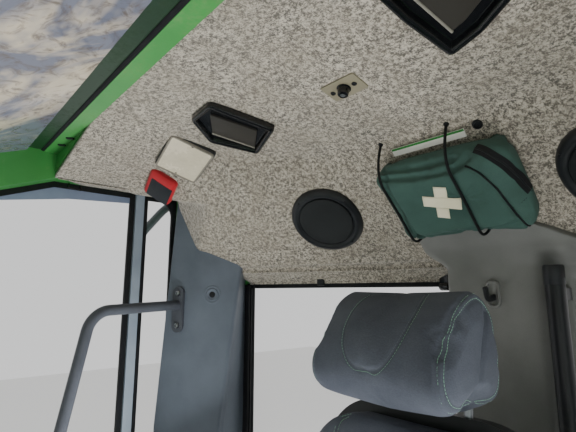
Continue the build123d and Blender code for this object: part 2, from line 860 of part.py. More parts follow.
with BuildPart() as seat_frame:
    with BuildSketch(Plane.XY.offset(pan_low)):
        with Locations((0, seat_y)):
            RectangleRounded(2 * side_x, 430, 30)
    extrude(amount=pan_high - pan_low)
    with BuildSketch(Plane.YZ.offset(side_x)):
        with BuildLine():
            Polyline((250, pan_low), (430, pan_low), (430, 540), (arm_y + 28, arm_z - 40),
                     (arm_y + 28, arm_z), (arm_y - 28, arm_z), (arm_y - 28, arm_z - 60), (360, 560),
                     (250, pan_high), close=True)
        make_face()
        with Locations((arm_y, arm_z)):
            Circle(28)
    extrude(amount=side_thick)
    with BuildSketch(Plane.YZ.offset(side_x)):
        with Locations((back_y, back_z)):
            Circle(10)
    extrude(amount=-30)
    with BuildSketch(Plane.YZ.offset(side_x + side_thick)):
        with Locations((arm_y, arm_z)):
            Circle(12)
    extrude(amount=50)
    mirror(about=Plane.YZ)
save_seat(seat_frame.part, "seat_frame")

with BuildPart() as cushion:
    with BuildSketch(Plane.XY.offset(pan_high + clear)):
        with Locations((0, 127)):
            RectangleRounded(480, 376, 40)
    extrude(amount=cushion_top - pan_high - clear)
    fillet(cushion.faces().sort_by(Axis.Z)[-1].edges(), 24)
save_seat(cushion.part, "seat_cushion")

lean = radians(back_lean)
back_plane = Plane(origin=(0, back_y, back_z), x_dir=(1, 0, 0), z_dir=(0, sin(lean), cos(lean)))
shell_front, shell_back = 22, 50
shell_middle = (shell_front + shell_back) / 2
back_low, back_high = 95, 843
back_depth = 67
post_radius = 6
post_fit = 0.08
post_x = 60
post_reach = 110
back_face = Plane(origin=back_plane.origin, x_dir=(1, 0, 0), z_dir=(0, -cos(lean), sin(lean)))


def back_outline(edge, bottom):
    """Outline of the backrest from the front: wide at the hips, narrow and round at the shoulders."""
    with Locations((-78, back_high - 110), (78, back_high - 110)):
        Circle(110 + edge)
    with Locations((-170, 560), (170, 560)):
        Circle(60 + edge)
    with Locations((-205, bottom + 25), (205, bottom + 25)):
        Circle(25 + edge)
    make_hull()


with BuildPart() as back_shell:
    with BuildSketch(back_face.offset(-shell_back)):
        back_outline(3, back_low - 37)
    extrude(amount=shell_back - shell_front)
    for side in (-1, 1):
        with BuildSketch(Plane.YZ.offset(side * 230 - 8)):
            with BuildLine():
                Polyline((back_y - 22, back_z), (back_y + 22, back_z - 4), (back_y + 72, back_z + 74),
                         (back_y + 30, back_z + 80), close=True)
            make_face()
            with Locations((back_y, back_z)):
                Circle(22)
        extrude(amount=16)
        with BuildSketch(Plane.YZ.offset(side * 230 - 8)):
            with Locations((back_y, back_z)):
                Circle(10 + post_fit)
        extrude(amount=16, mode=Mode.SUBTRACT)
    with BuildSketch(back_plane.offset(back_high + 10)):
        with Locations((-post_x, shell_middle), (post_x, shell_middle)):
            Circle(post_radius + post_fit)
    extrude(amount=-post_reach - 22, mode=Mode.SUBTRACT)
save_seat(back_shell.part, "backrest_shell")

with BuildPart() as back_cushion:
    with BuildSketch(back_face.offset(clear - shell_front)):
        back_outline(0, back_low)
    extrude(amount=back_depth)
    fillet(back_cushion.faces().sort_by(Axis(back_face.origin, back_face.z_dir))[-1].edges(), 22)
save_seat(back_cushion.part, "backrest_cushion")

# Headrest: one side profile, carried across; Y and Z of its points
head_half = 108
head_profile = [
    (500, 1507), (455, 1483), (427, 1450), (407, 1417), (404, 1388), (417, 1366), (440, 1356), (480, 1355),
    (530, 1354), (560, 1364), (572, 1390), (570, 1435), (554, 1481), (528, 1502),
]
with BuildPart() as headrest:
    with BuildSketch(Plane.YZ.offset(-head_half)):
        with BuildLine():
            Spline(*head_profile, periodic=True)
        make_face()
    extrude(amount=2 * head_half)
    fillet(headrest.edges().filter_by(Plane.YZ), 12)
save_seat(headrest.part, "headrest")

with BuildPart() as head_posts:
    with BuildSketch(back_plane.offset(back_high + 10 - post_reach)):
        with Locations((-post_x, shell_middle), (post_x, shell_middle)):
            Circle(post_radius)
    extrude(amount=post_reach + 30)
    add(headrest.part, mode=Mode.SUBTRACT)
save_seat(head_posts.part, "headrest_posts")

arm_low_x = side_x + side_thick + 3
arm_width = 80
arm_front_y = -70
for name, side in (("left", 1), ("right", -1)):
    with BuildPart() as armrest:
        with BuildSketch(Plane.YZ.offset(side * arm_low_x)):
            with BuildLine():
                Polyline((arm_front_y, arm_z + 24), (arm_front_y, arm_z - 12), (arm_y, arm_z - 26),
                         (arm_y, arm_z + 26), close=True)
            make_face()
            with Locations((arm_y, arm_z)):
                Circle(26)
        extrude(amount=side * arm_width)
        with BuildSketch(Plane.YZ.offset(side * arm_low_x)):
            with Locations((arm_y, arm_z)):
                Circle(12 + post_fit)
        extrude(amount=side * arm_width, mode=Mode.SUBTRACT)
    save_seat(armrest.part, f"{name}_armrest")
    with BuildPart() as console:
        with BuildSketch(Plane.XY.offset(arm_z - 26)):
            with Locations((side * (arm_low_x + arm_width / 2 + 6), arm_front_y - 80)):
                RectangleRounded(110, 160, 26)
        extrude(amount=44)
        with BuildSketch(Plane.XY.offset(arm_z + 18)):
            with Locations((side * (arm_low_x + arm_width / 2 + 6), arm_front_y - 90)):
                Circle(18)
        extrude(amount=30)
        with BuildSketch(Plane.XY.offset(arm_z + 48)):
            with Locations((side * (arm_low_x + arm_width / 2 + 6), arm_front_y - 90)):
                Ellipse(17, 23)
        extrude(amount=84)
    save_seat(console.part, f"{name}_joystick_console")

pedal_y = front_y + 230
with BuildPart() as pedals:
    for x in (-110, 110):
        with BuildSketch(Plane.XY.offset(seat_floor)):
            with Locations((x, pedal_y)):
                Rectangle(90, 60)
        extrude(amount=20)
        with BuildSketch(Plane.YZ.offset(x - 40)):
            with BuildLine():
                Polyline((pedal_y + 60, seat_floor + 20), (pedal_y - 30, seat_floor + 20),
                         (pedal_y - 100, seat_floor + 150), (pedal_y - 90, seat_floor + 156),
                         (pedal_y, seat_floor + 34), (pedal_y + 60, seat_floor + 34), close=True)
            make_face()
        extrude(amount=80)
save(pedals.part, "foot_pedals")

screen_x, screen_y, screen_z = 280 - half_width, front_y + 370, opening_top - 660
with BuildPart() as display:
    with BuildSketch(Plane.XZ.offset(-screen_y)):
        with Locations((screen_x, screen_z)):
            RectangleRounded(270, 190, 14)
    extrude(amount=34)
    with BuildSketch(Plane.XZ.offset(-screen_y)):
        with Locations((screen_x, screen_z)):
            Rectangle(236, 150)
    extrude(amount=3, mode=Mode.SUBTRACT)
save(display.part, "display_screen")
with BuildPart() as display_arm:
    with BuildSketch(Plane.XY.offset(screen_z - 15)):
        with BuildLine():
            Polyline((screen_x - 60, screen_y - 34), (screen_x - 20, screen_y - 34),
                     (screen_x - 20, screen_y - 60), (-beam_inner, screen_y - 200),
                     (-beam_inner, screen_y - 170), close=True)
        make_face()
    extrude(amount=30)
    add(display.part, mode=Mode.SUBTRACT)
save(display_arm.part, "display_arm")

light_x = half_width - 220
light_places = [(x, cross_front_y + 60) for x in (-light_x, -light_x / 2, light_x / 2, light_x)]
with BuildPart() as work_lights:
    for x, y in light_places:
        with BuildSketch(Plane.XY.offset(roof_skin_top)):
            with Locations((x, y + 10)):
                Rectangle(40, 30)
        extrude(amount=24)
        with BuildSketch(Plane.XZ.offset(-y + 36)):
            with Locations((x, roof_skin_top + 14 + 42)):
                RectangleRounded(130, 84, 12)
        extrude(amount=-70, taper=6)
save(work_lights.part, "work_lights")
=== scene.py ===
"""Looks of a forestry harvester operator's cab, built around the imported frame.

Metres, in the frame of the CAD: +Z up, the seat looks along -Y, +X is the operator's left.
"""
import math

import bmesh
import bpy
import numpy as np
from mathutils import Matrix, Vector
from mathutils.bvhtree import BVHTree


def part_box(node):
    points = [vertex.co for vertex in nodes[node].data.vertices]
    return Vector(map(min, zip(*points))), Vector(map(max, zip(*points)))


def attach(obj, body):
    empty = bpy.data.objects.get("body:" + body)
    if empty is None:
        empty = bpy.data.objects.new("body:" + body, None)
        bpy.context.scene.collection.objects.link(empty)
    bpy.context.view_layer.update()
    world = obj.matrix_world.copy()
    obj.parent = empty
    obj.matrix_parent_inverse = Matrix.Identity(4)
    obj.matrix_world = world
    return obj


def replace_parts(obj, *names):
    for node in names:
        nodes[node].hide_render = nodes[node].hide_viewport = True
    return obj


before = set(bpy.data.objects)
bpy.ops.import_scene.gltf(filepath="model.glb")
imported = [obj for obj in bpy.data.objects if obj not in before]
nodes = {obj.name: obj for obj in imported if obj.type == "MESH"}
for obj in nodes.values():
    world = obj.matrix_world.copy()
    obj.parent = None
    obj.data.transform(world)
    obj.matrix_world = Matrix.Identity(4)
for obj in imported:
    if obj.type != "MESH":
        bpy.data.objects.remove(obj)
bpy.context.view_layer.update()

# ---- camera


def aim_camera(place, yaw, pitch, lens):
    """Camera at place that looks along +Y, turned by yaw towards -X and tipped up by pitch."""
    data = bpy.data.cameras.new("photo_camera")
    data.lens, data.sensor_width, data.clip_start = lens, 36, 0.02
    camera = bpy.data.objects.new("photo_camera", data)
    camera.location = place
    camera.rotation_euler = (math.radians(90 + pitch), 0, math.radians(yaw))
    bpy.context.scene.collection.objects.link(camera)
    bpy.context.scene.camera = camera


aim_camera((0.40, -0.05, 1.50), 49, 10.2, 27.06)


def lamp(name, place, target, size, power):
    """Soft square lamp that shines from place to target and isn't seen itself."""
    data = bpy.data.lights.new(name, "AREA")
    data.size, data.energy = size, power
    light = bpy.data.objects.new(name, data)
    light.location = place
    light.rotation_euler = (Vector(target) - Vector(place)).to_track_quat("-Z", "Y").to_euler()
    light.visible_camera = False
    light.visible_glossy = False
    bpy.context.scene.collection.objects.link(light)


# ---- materials


def linear(code):
    """Linear colour with alpha from an sRGB hex value."""
    parts = [int(code[i:i + 2], 16) / 255 for i in (1, 3, 5)]
    return tuple(c / 12.92 if c <= 0.04045 else ((c + 0.055) / 1.055) ** 2.4 for c in parts) + (1.0,)


def add(tree, kind, settings=None, **inputs):
    """Add one node. Each input is named with _ for a space, or by its number, and takes a value or a link."""
    made = tree.nodes.new(kind)
    for key, value in (settings or {}).items():
        setattr(made, key, value)
    for key, value in inputs.items():
        key = key.replace("_", " ").strip()
        socket = made.inputs[int(key[1:]) if key[1:].isdigit() else key]
        if isinstance(value, bpy.types.NodeSocket):
            tree.links.new(value, socket)
        else:
            socket.default_value = value
    return made


def start(name, slot=None):
    """New material with its shader and its Object coordinates. The slot argument is not used."""
    material = bpy.data.materials.new(name)
    material.use_nodes = True
    tree = material.node_tree
    return material, tree, tree.nodes["Principled BSDF"], add(tree, "ShaderNodeTexCoord").outputs["Object"]


def blend_colours(tree, factor, low, high):
    """Colour between two hex values, or two links, by a factor."""
    mix = add(tree, "ShaderNodeMix", {"data_type": "RGBA"}, i0=factor)
    for place, colour in ((6, low), (7, high)):
        if isinstance(colour, str):
            mix.inputs[place].default_value = linear(colour)
        else:
            tree.links.new(colour, mix.inputs[place])
    return mix.outputs[2]


def ramp(tree, value, low, high, out_low=0.0, out_high=1.0):
    """Value stretched from low..high to out_low..out_high and held inside it."""
    return add(tree, "ShaderNodeMapRange", Value=value, From_Min=low, From_Max=high,
               To_Min=out_low, To_Max=out_high).outputs[0]


def noise(tree, where, size_mm, detail=3.0, rough=0.55):
    """Cloudy pattern whose lumps are size_mm across."""
    return add(tree, "ShaderNodeTexNoise", Vector=where, Scale=1000 / size_mm, Detail=detail,
               Roughness=rough).outputs[0]


def bump(tree, shader, height, depth_mm):
    """Bump of a depth in millimetres on a shader."""
    made = add(tree, "ShaderNodeBump", Height=height, Distance=depth_mm / 1000, Strength=1.0)
    tree.links.new(made.outputs[0], shader.inputs["Normal"])


def moulded(name, slot, low, high, grain_mm, roughness, depth_mm, mottle_mm=90, metallic=0.0, coat=0.0):
    """Solid finish with a fine grain, a slow change of colour and a grain that also varies the gloss."""
    material, tree, shader, where = start(name, slot)
    grain = noise(tree, where, grain_mm, 2.0)
    mottle = noise(tree, where, mottle_mm, 4.0)
    mixed = add(tree, "ShaderNodeMath", {"operation": "MULTIPLY_ADD"}, i0=grain, i1=0.35, i2=mottle).outputs[0]
    tree.links.new(blend_colours(tree, ramp(tree, mixed, 0.42, 0.95), low, high), shader.inputs["Base Color"])
    tree.links.new(ramp(tree, mixed, 0.3, 1.0, roughness - 0.07, roughness + 0.09), shader.inputs["Roughness"])
    shader.inputs["Metallic"].default_value = metallic
    shader.inputs["Coat Weight"].default_value = coat
    bump(tree, shader, grain, depth_mm)
    return material


def painted(name, slot, low, high, dust, roughness=0.38, coat=0.25):
    """Sprayed enamel on steel plate: faint orange peel and dust in patches."""
    material, tree, shader, where = start(name, slot)
    peel = noise(tree, where, 5, 2.0)
    cloud = noise(tree, where, 160, 5.0, 0.62)
    speck = noise(tree, where, 9, 4.0, 0.7)
    colour = blend_colours(tree, ramp(tree, cloud, 0.15, 0.85), low, high)
    dusty = ramp(tree, add(tree, "ShaderNodeMath", {"operation": "MULTIPLY"}, i0=cloud, i1=speck).outputs[0],
                 0.27, 0.42, 0.0, 0.22)
    tree.links.new(blend_colours(tree, dusty, colour, dust), shader.inputs["Base Color"])
    tree.links.new(ramp(tree, dusty, 0.0, 0.35, roughness, roughness + 0.3), shader.inputs["Roughness"])
    shader.inputs["Coat Weight"].default_value = coat
    shader.inputs["Coat Roughness"].default_value = 0.2
    bump(tree, shader, peel, 0.12)
    return material


def pane(name, tint, clear):
    """Safety glass: clear from the front, and less so where it is seen at a slant."""
    material, tree, shader, _ = start(name, "glazing")
    facing = add(tree, "ShaderNodeLayerWeight", Blend=0.35).outputs["Fresnel"]
    shader.inputs["Base Color"].default_value = linear(tint)
    tree.links.new(ramp(tree, facing, 0.0, 1.0, clear, 0.3), shader.inputs["Alpha"])
    shader.inputs["Roughness"].default_value = 0.06
    return material


def filmed_pane(name, clear, dark, pale, crease):
    """Safety glass under a loose film: dark patches that let little through, pale clearer ones, fine creases."""
    material, tree, shader, where = start(name, "glazing")
    patch = add(tree, "ShaderNodeTexNoise", Vector=where, Scale=3.6, Detail=4.0, Roughness=0.6,
                Distortion=1.6).outputs[0]
    fold = add(tree, "ShaderNodeTexNoise", Vector=where, Scale=22.0, Detail=5.0, Roughness=0.65,
               Distortion=2.5).outputs[0]
    colour = blend_colours(tree, ramp(tree, patch, 0.46, 0.6), dark, pale)
    colour = blend_colours(tree, ramp(tree, fold, 0.48, 0.66, 0.0, 0.75), colour, crease)
    tree.links.new(colour, shader.inputs["Base Color"])
    tree.links.new(ramp(tree, patch, 0.5, 0.62, 0.94, clear), shader.inputs["Alpha"])
    shader.inputs["Roughness"].default_value = 0.06
    return material


def needle_felt():
    """Needle-punched felt: pale and dark fibres pressed into a flat matt web, so it is mottled and never shines."""
    material, tree, shader, where = start("needle_felt", "felt")
    web = noise(tree, where, 7, 6.0, 0.75)
    fibres = noise(tree, where, 2.6, 3.0, 0.7)
    cloud = noise(tree, where, 60, 4.0, 0.6)
    both = add(tree, "ShaderNodeMath", {"operation": "MULTIPLY_ADD"}, i0=fibres, i1=0.7, i2=web).outputs[0]
    colour = blend_colours(tree, ramp(tree, both, 0.76, 0.95), "#4c4841", "#cac2b2")
    colour = blend_colours(tree, ramp(tree, cloud, 0.35, 0.7, 0.0, 0.4), colour, "#8b8271")
    tree.links.new(colour, shader.inputs["Base Color"])
    shader.inputs["Roughness"].default_value = 0.95
    shader.inputs["Sheen Weight"].default_value = 0.25
    shader.inputs["Sheen Roughness"].default_value = 0.6
    bump(tree, shader, both, 1.6)
    return material


felt = needle_felt()

# Enamel and powder coat, sprayed on steel: an even skin with soft highlights, duller where dust lies
green = painted("green_enamel", "green_paint", "#38803f", "#479a4c", "#8f9a70")
# Dark green copy of the green enamel: painted shade, laid as a strip under the cross bar
painted_shade_green = painted("painted_shade_green_enamel", "green_paint", "#132a1b", "#1c3b26", "#39442f")
# Pale yellow-green copy of the green enamel: a painted highlight, carried by the bead along the cross bar
painted_highlight_green = painted("painted_highlight_green_enamel", "green_paint", "#7fae4a", "#a9c468", "#c8c99a")
dark_steel = painted("dark_steel_enamel", "dark_steel", "#2b2e30", "#3a3e40", "#6d675b", 0.45, 0.1)
black_paint = painted("black_powder_coat", "black_plastic", "#141517", "#202226", "#5b574f", 0.4, 0.15)
# The same on smooth tube and sheet, where the grain is too fine for dust to settle: a satin sheen
post_grey = moulded("blue_grey_enamel", "slate_plastic", "#8490a0", "#97a3ad", 3, 0.4, 0.08)
rail_black = moulded("satin_black_powder_coat", "black_plastic", "#3d4047", "#555961", 2.2, 0.42, 0.1)
plate_grey = moulded("sand_grey_enamel", "grey_plastic", "#77725f", "#8f8974", 2.2, 0.42, 0.1)
# Zinc-plated steel: bright and slightly cloudy
steel = moulded("zinc_plated_steel", "bright_steel", "#8d9196", "#b4b8bc", 1.5, 0.3, 0.05, 40, 1.0)

# Moulded plastic with a fine leather grain (drawn at 1.4 to 1.6 mm, coarser than the real 0.5 mm, so that it
# shows): broad soft highlights, sharper on the gloss and worn kinds
slate = moulded("slate_moulded_plastic", "slate_plastic", "#58606b", "#68717c", 1.6, 0.42, 0.12)
warm_grey = moulded("warm_grey_moulded_plastic", "grey_plastic", "#6e6f6c", "#80817e", 1.6, 0.48, 0.12)
black_plastic = moulded("black_moulded_plastic", "black_plastic", "#101113", "#1d1f22", 1.4, 0.42, 0.12)
charcoal = moulded("charcoal_moulded_plastic", "black_plastic", "#1b1d1f", "#2c2e31", 1.4, 0.36, 0.1)
gloss_black = moulded("gloss_black_plastic", "black_plastic", "#0b0c0e", "#15171a", 1.4, 0.2, 0.04, coat=0.3)
flap_grey = moulded("flap_plastic", "black_plastic", "#2b2926", "#3a3833", 1.6, 0.4, 0.08)
# Pale grey for the outlet flaps' lips: a painted highlight
painted_highlight_edge = moulded("flap_edge_painted_highlight", "black_plastic", "#77746b", "#9a978c", 1.6, 0.4, 0.05)
red_plastic = moulded("red_moulded_plastic", "red_plastic", "#a01f26", "#c22c35", 1.6, 0.35, 0.08)
# Rubber: nearly black, with dull wide highlights; pressed grille: pitted, so it looks velvety
rubber = moulded("moulded_rubber", "rubber", "#121315", "#232427", 2.5, 0.72, 0.15)
grille = moulded("pressed_grille", "black_plastic", "#1d1f20", "#2d2f30", 2.0, 0.5, 0.5)
# Printed film and card: flat and plain; tape: a faint weave
sticker = moulded("dark_printed_film", "black_plastic", "#171b20", "#23282e", 6, 0.3, 0.03)
card_white = moulded("white_card", "card", "#d8d6cd", "#e8e6de", 3, 0.7, 0.05)
leaf_green = moulded("green_card", "card", "#23662b", "#2f7a35", 3, 0.6, 0.05)
cream = moulded("cream_tape", "bag_fabric", "#d9d3b4", "#ece7cf", 1.2, 0.75, 0.15)
# Clear and clouded lamp plastic, screen glass: smooth, with a small bright highlight. The dome light frame's grey is
# partly its own clouded grey and partly painted shade of the lens ring
lens = moulded("lamp_lens", "lamp_lens", "#c4bba3", "#ddd4bc", 8, 0.25, 0.1)
frame_grey_and_painted_shade = moulded("clouded_frame_and_painted_shade", "lamp_lens", "#77736a", "#918c80", 4, 0.22, 0.05)
clear_lens = moulded("clear_lamp_lens", "lamp_lens", "#b9bfc2", "#dde1e3", 6, 0.12, 0.1)
panel_glass = moulded("screen_glass", "black_plastic", "#0b0d10", "#121519", 40, 0.12, 0.0)

# Window glass, its tinted band, and the roof's glass under a film
glass = pane("window_glass", "#66767b", 0.03)
band_tint = moulded("tinted_glass_band", "glazing", "#76839b", "#8794ac", 30, 0.15, 0.0)
roof_pane = filmed_pane("filmed_roof_glass", 0.78, "#727686", "#d9ccb5", "#62564c")

# Knitted seat cover (loops of 2.2 mm), coated bag cloth (weave of 1.5 mm), elastic and sewing thread: matt,
# with the threads' own relief
knit = moulded("charcoal_knit", "seat_fabric", "#41454f", "#5f646e", 2.2, 0.9, 0.5)
bag_cloth = moulded("teal_bag_cloth", "bag_fabric", "#2f4741", "#446159", 1.5, 0.65, 0.3)
elastic = moulded("black_elastic", None, "#0d0e0f", "#1b1c1e", 1.2, 0.7, 0.3)
mint = moulded("mint_thread", None, "#6f9f84", "#9dc4ac", 0.6, 0.6, 0.05)
grey_thread = moulded("grey_thread", None, "#54595d", "#70767a", 0.6, 0.6, 0.05)

finishes = {
    green: ["front_pillars", "rear_pillars", "rear_column", "roof_side_beams", "roof_cross_bar",
            "front_header", "rear_headers", "front_lower_panel", "side_lower_panels", "rear_lower_panels",
            "roof_shell", "door_frame"],
    dark_steel: ["floor_frame", "door_hinge_pins", "seat_frame", "seat_turntable", "foot_pedals", "display_arm"],
    black_paint: ["rear_grab_tube", "door_handle"],
    post_grey: ["side_posts"],
    rail_black: ["right_grab_rail", "outer_grab_rails", "door_grab_rail"],
    black_plastic: ["display_screen", "work_lights", "backrest_shell", "left_armrest", "right_armrest"],
    rubber: ["rubber_feet", "floor_mat", "window_seals"],
    glass: ["windscreen", "right_side_glass", "quarter_glass", "rear_glass", "door_glass"],
    roof_pane: ["roof_glass"],
    steel: ["headrest_posts"],
    card_white: ["blank_card"],
}
for material, names in finishes.items():
    for name in names:
        for place in nodes[name].material_slots:
            place.material = material

# ---- surfaces, all measured in millimetres


def unit(v):
    """Vectors at length one."""
    v = np.asarray(v, float)
    return v / np.linalg.norm(v, axis=-1, keepdims=True)


def surface(name, grids, material, body="root", along=False, caps=True, around=True, sharp=40):
    """Mesh from grids of points (rows, columns, 3). Point (r, c) joins (r+1, c) and (r, c+1) in a quad; around
    closes the columns, along closes the rows, and caps fill the first and last row."""
    points, faces, count = [], [], 0
    for grid in (grids if isinstance(grids, list) else [grids]):
        rows, columns = grid.shape[:2]
        r, c = np.meshgrid(np.arange(rows - (not along)), np.arange(columns - (not around)), indexing="ij")
        r2, c2 = (r + 1) % rows, (c + 1) % columns
        quads = np.stack([r * columns + c, r2 * columns + c, r2 * columns + c2, r * columns + c2], -1)
        faces += (quads.reshape(-1, 4) + count).tolist()
        if caps and around and not along:
            ends = np.arange(columns) + count
            faces += [ends[::-1].tolist(), (ends + (rows - 1) * columns).tolist()]
        points.append(grid.reshape(-1, 3) / 1000)
        count += rows * columns
    mesh = bpy.data.meshes.new(name)
    mesh.from_pydata(np.concatenate(points).tolist(), [], faces)
    shell = bmesh.new()
    shell.from_mesh(mesh)
    bmesh.ops.remove_doubles(shell, verts=shell.verts, dist=2e-6)
    bmesh.ops.recalc_face_normals(shell, faces=shell.faces)
    shell.to_mesh(mesh)
    shell.free()
    mesh.polygons.foreach_set("use_smooth", np.ones(len(mesh.polygons), bool))
    mesh.set_sharp_from_angle(angle=math.radians(sharp))
    piece = bpy.data.objects.new(name, mesh)
    bpy.context.scene.collection.objects.link(piece)
    mesh.materials.append(material)
    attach(piece, body)
    return piece


def thicken(piece, thickness):
    """Sheet given a wall of a thickness in millimetres."""
    piece.modifiers.new("thickness", "SOLIDIFY").thickness = thickness / 1000


def face_down(piece, axis):
    """Open sheet turned so that its faces look down an axis, 1 for Y and 2 for Z."""
    if sum(face.normal[axis] * face.area for face in piece.data.polygons) > 0:
        piece.data.flip_normals()


def rounded(corners, radius, steps=6, closed=True):
    """Line through corners, each one rounded by a quadratic curve that starts and ends radius away from it."""
    p = np.asarray(corners, float)
    before, after = np.roll(p, 1, 0) - p, np.roll(p, -1, 0) - p
    size = np.broadcast_to(np.asarray(radius, float), len(p))
    first = np.minimum(size, 0.48 * np.linalg.norm(before, axis=1))[:, None]
    last = np.minimum(size, 0.48 * np.linalg.norm(after, axis=1))[:, None]
    t = np.linspace(0, 1, steps)[None, :, None]
    bent = ((1 - t)**2 * (p + unit(before) * first)[:, None] + 2 * t * (1 - t) * p[:, None]
            + t**2 * (p + unit(after) * last)[:, None])
    if closed:
        return bent.reshape(-1, p.shape[1])
    return np.concatenate([p[:1], bent[1:-1].reshape(-1, p.shape[1]), p[-1:]])


def circle(radius, steps=16, wide=1.0):
    """Ring of points for a profile, wide times as wide as it is high."""
    a = np.linspace(0, 2 * np.pi, steps, endpoint=False)
    return np.stack([radius * wide * np.cos(a), radius * np.sin(a)], -1)


def carried(path, profile, up):
    """Profile (across, up) carried along a path, kept square to it and as upright as up allows."""
    path = np.asarray(path, float)
    ahead = unit(np.gradient(path, axis=0))
    side = unit(np.cross(ahead, np.broadcast_to(up, ahead.shape)))
    lift = np.cross(side, ahead)
    return path[:, None] + profile[None, :, :1] * side[:, None] + profile[None, :, 1:] * lift[:, None]


def turned(outline, centre, axis, steps=40):
    """Outline of (radius, height) turned about an axis through centre."""
    axis = unit(axis)
    across = unit(np.cross(axis, (0.3, 0.8, 0.52)))
    other = np.cross(axis, across)
    a = np.linspace(0, 2 * np.pi, steps, endpoint=False)
    ring = np.cos(a)[:, None] * across + np.sin(a)[:, None] * other
    r, h = np.asarray(outline, float).T
    return np.asarray(centre, float) + h[:, None, None] * axis + r[:, None, None] * ring[None]


def drawn_in(corners, distance):
    """Corners of a flat figure whose sides have all moved inwards by a distance, where the moved sides meet."""
    p = np.asarray(corners, float)
    side = unit(np.roll(p, -1, 0) - p)
    inward = np.stack([-side[:, 1], side[:, 0]], -1)
    if np.sum(p[:, 0] * np.roll(p[:, 1], -1) - np.roll(p[:, 0], -1) * p[:, 1]) < 0:
        inward = -inward
    before = np.roll(inward, 1, 0)
    return p + distance * (inward + before) / (1 + np.sum(inward * before, 1, keepdims=True))


def stepped(corners, rings, origin, x_dir, normal, rounding=6.0):
    """Flat form built up from rings of (inset, height): each is the figure drawn in, its corners rounded, set at
    its height over the plane."""
    normal, x_dir = unit(normal), np.asarray(x_dir, float)
    x_dir = unit(x_dir - normal * (x_dir @ normal))
    y_dir = np.cross(normal, x_dir)
    flat = np.array([rounded(drawn_in(corners, inset), max(rounding - inset, 0.6)) for inset, _ in rings])
    height = np.array([height for _, height in rings])
    return (np.asarray(origin, float) + flat[..., :1] * x_dir + flat[..., 1:] * y_dir
            + height[:, None, None] * normal)


def oblong(width, height, middle=(0, 0)):
    """Four corners of an upright rectangle."""
    return np.array([(-1, -1), (1, -1), (1, 1), (-1, 1)]) * [width / 2, height / 2] + middle


def rolled(low, high, edge=2.0):
    """Rings of a plate from low to high whose upper edge is a quarter circle."""
    a = np.linspace(0, np.pi / 2, 4)
    return [(0, low)] + [(edge * (1 - math.cos(t)), high - edge + edge * math.sin(t)) for t in a]


def screw(centre, axis, radius=4, height=2.2):
    """Pan head with a socket: a dome that dips in the middle."""
    return turned([(0.01, -0.5), (radius, -0.5), (radius, height * 0.45), (radius * 0.8, height * 0.9),
                   (radius * 0.5, height), (radius * 0.42, height * 0.5), (0.01, height * 0.45)],
                  centre, axis, 18)


def screws(name, places, axis, radius, height, material=black_paint):
    """Equal screws at places, along one axis."""
    surface(name, [screw(place, axis, radius, height) for place in places], material, sharp=30)


def box_mm(node):
    """Lowest and highest corner of a node in millimetres."""
    return (np.array(corner) * 1000 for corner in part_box(node))


# ---- the cab's own sizes, in millimetres, and directions

beam_inner, ceiling, felt_low, felt_front = 735, 1846, 1572, 190
opening_top, floor_top = 1780, 150
corner_x, corner_y = 660, 705
slope_start, slope_fall = 325, 0.247
rear_slope, cover_slope = 2372, 2373
lean_start, lean_rise = 1150, 630
right_way, upward = (1, 0, 0), (0, 0, 1)
level = (right_way, upward)


def rear_y(x):
    """Inner line of the rear wall in plan."""
    return corner_y + 0.3 * (corner_x - np.abs(x))


def felt_height(x, y):
    """Height of the felt over a place in plan. The facets are planes; the lowest one counts, blended at the
    ridges by a soft minimum, minus k times the log of the sum of exp(-z / k), and the rear corners rise to
    a second set of planes by the same rule upside down."""
    across = np.abs(x)
    speaker_y = np.where(x < 0, 671, 682.4)
    speaker_x = np.where(x < 0, 291, 265)
    main = [ceiling + 0 * x, ceiling - slope_fall * (y - slope_start), rear_slope - y,
            ceiling - 0.22 * (across - 420),
            1669.1 - (0.289 * (across - speaker_x) + 0.657 * (y - speaker_y)) / 0.697]
    corner = [1596 - (-0.119 * (across - 665) + 0.948 * (y - 558)) / 0.297, 1747 + 0.24 * (across - 660),
              ceiling - 0.22 * (across - 420)]

    def soft_least(planes, k):
        low = np.min(planes, axis=0)
        return low - k * np.log(np.sum(np.exp((low - np.array(planes)) / k), axis=0))

    first, second = soft_least(main, 5.0), soft_least(corner, 4.0)
    top = np.maximum(first, second)
    return top + 5.0 * np.log(np.exp((first - top) / 5.0) + np.exp((second - top) / 5.0))


def felt_end(x):
    """Where the felt comes down to its lower edge, found by halving the interval."""
    low, high = np.full_like(x, 300.0), np.full_like(x, 900.0)
    for _ in range(30):
        middle = (low + high) / 2
        above = felt_height(x, middle) > felt_low
        low, high = np.where(above, middle, low), np.where(above, high, middle)
    return low


across = np.linspace(-beam_inner, beam_inner, 190)
reach = np.linspace(0, 1, 120)
ends = felt_end(across)
x, t = np.meshgrid(across, reach, indexing="ij")
y = felt_front + t * (ends[:, None] - felt_front)
lining = surface("felt_headliner", np.stack([x, y, felt_height(x, y)], -1), felt, caps=False, around=False,
                 sharp=80)
face_down(lining, 2)
thicken(lining, 9)
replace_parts(lining, "headliner")


def rolled_lip(low_x, high_x):
    """Felt that rolls round under the headliner and runs back to the rear window: a curve in side view,
    carried across."""
    x = np.linspace(low_x, high_x, 40)
    start, back = felt_end(x), rear_y(x) - 1.5
    t = np.linspace(0, 1.9, 12)
    turn_y, turn_z = 14 * np.sin(t), felt_low - 9 * (1 - np.cos(t)) - 1.5 * t
    s = np.linspace(0, 1, 14)[1:]
    y = np.concatenate([np.tile(turn_y, (40, 1)) + start[:, None],
                        start[:, None] + turn_y[-1] + (back - start - turn_y[-1])[:, None] * s], 1)
    z = np.concatenate([turn_z, turn_z[-1] + (1532 - turn_z[-1]) * s + 3 * np.sin(np.pi * s)])
    line = np.stack([np.repeat(x[:, None], y.shape[1], 1), y, np.tile(z, (40, 1))], -1)
    top, foot = line[:, :1] + [0, -3, 4], line[:, -1:] + [0, 0, -5]
    return np.concatenate([top, line, foot], 1)


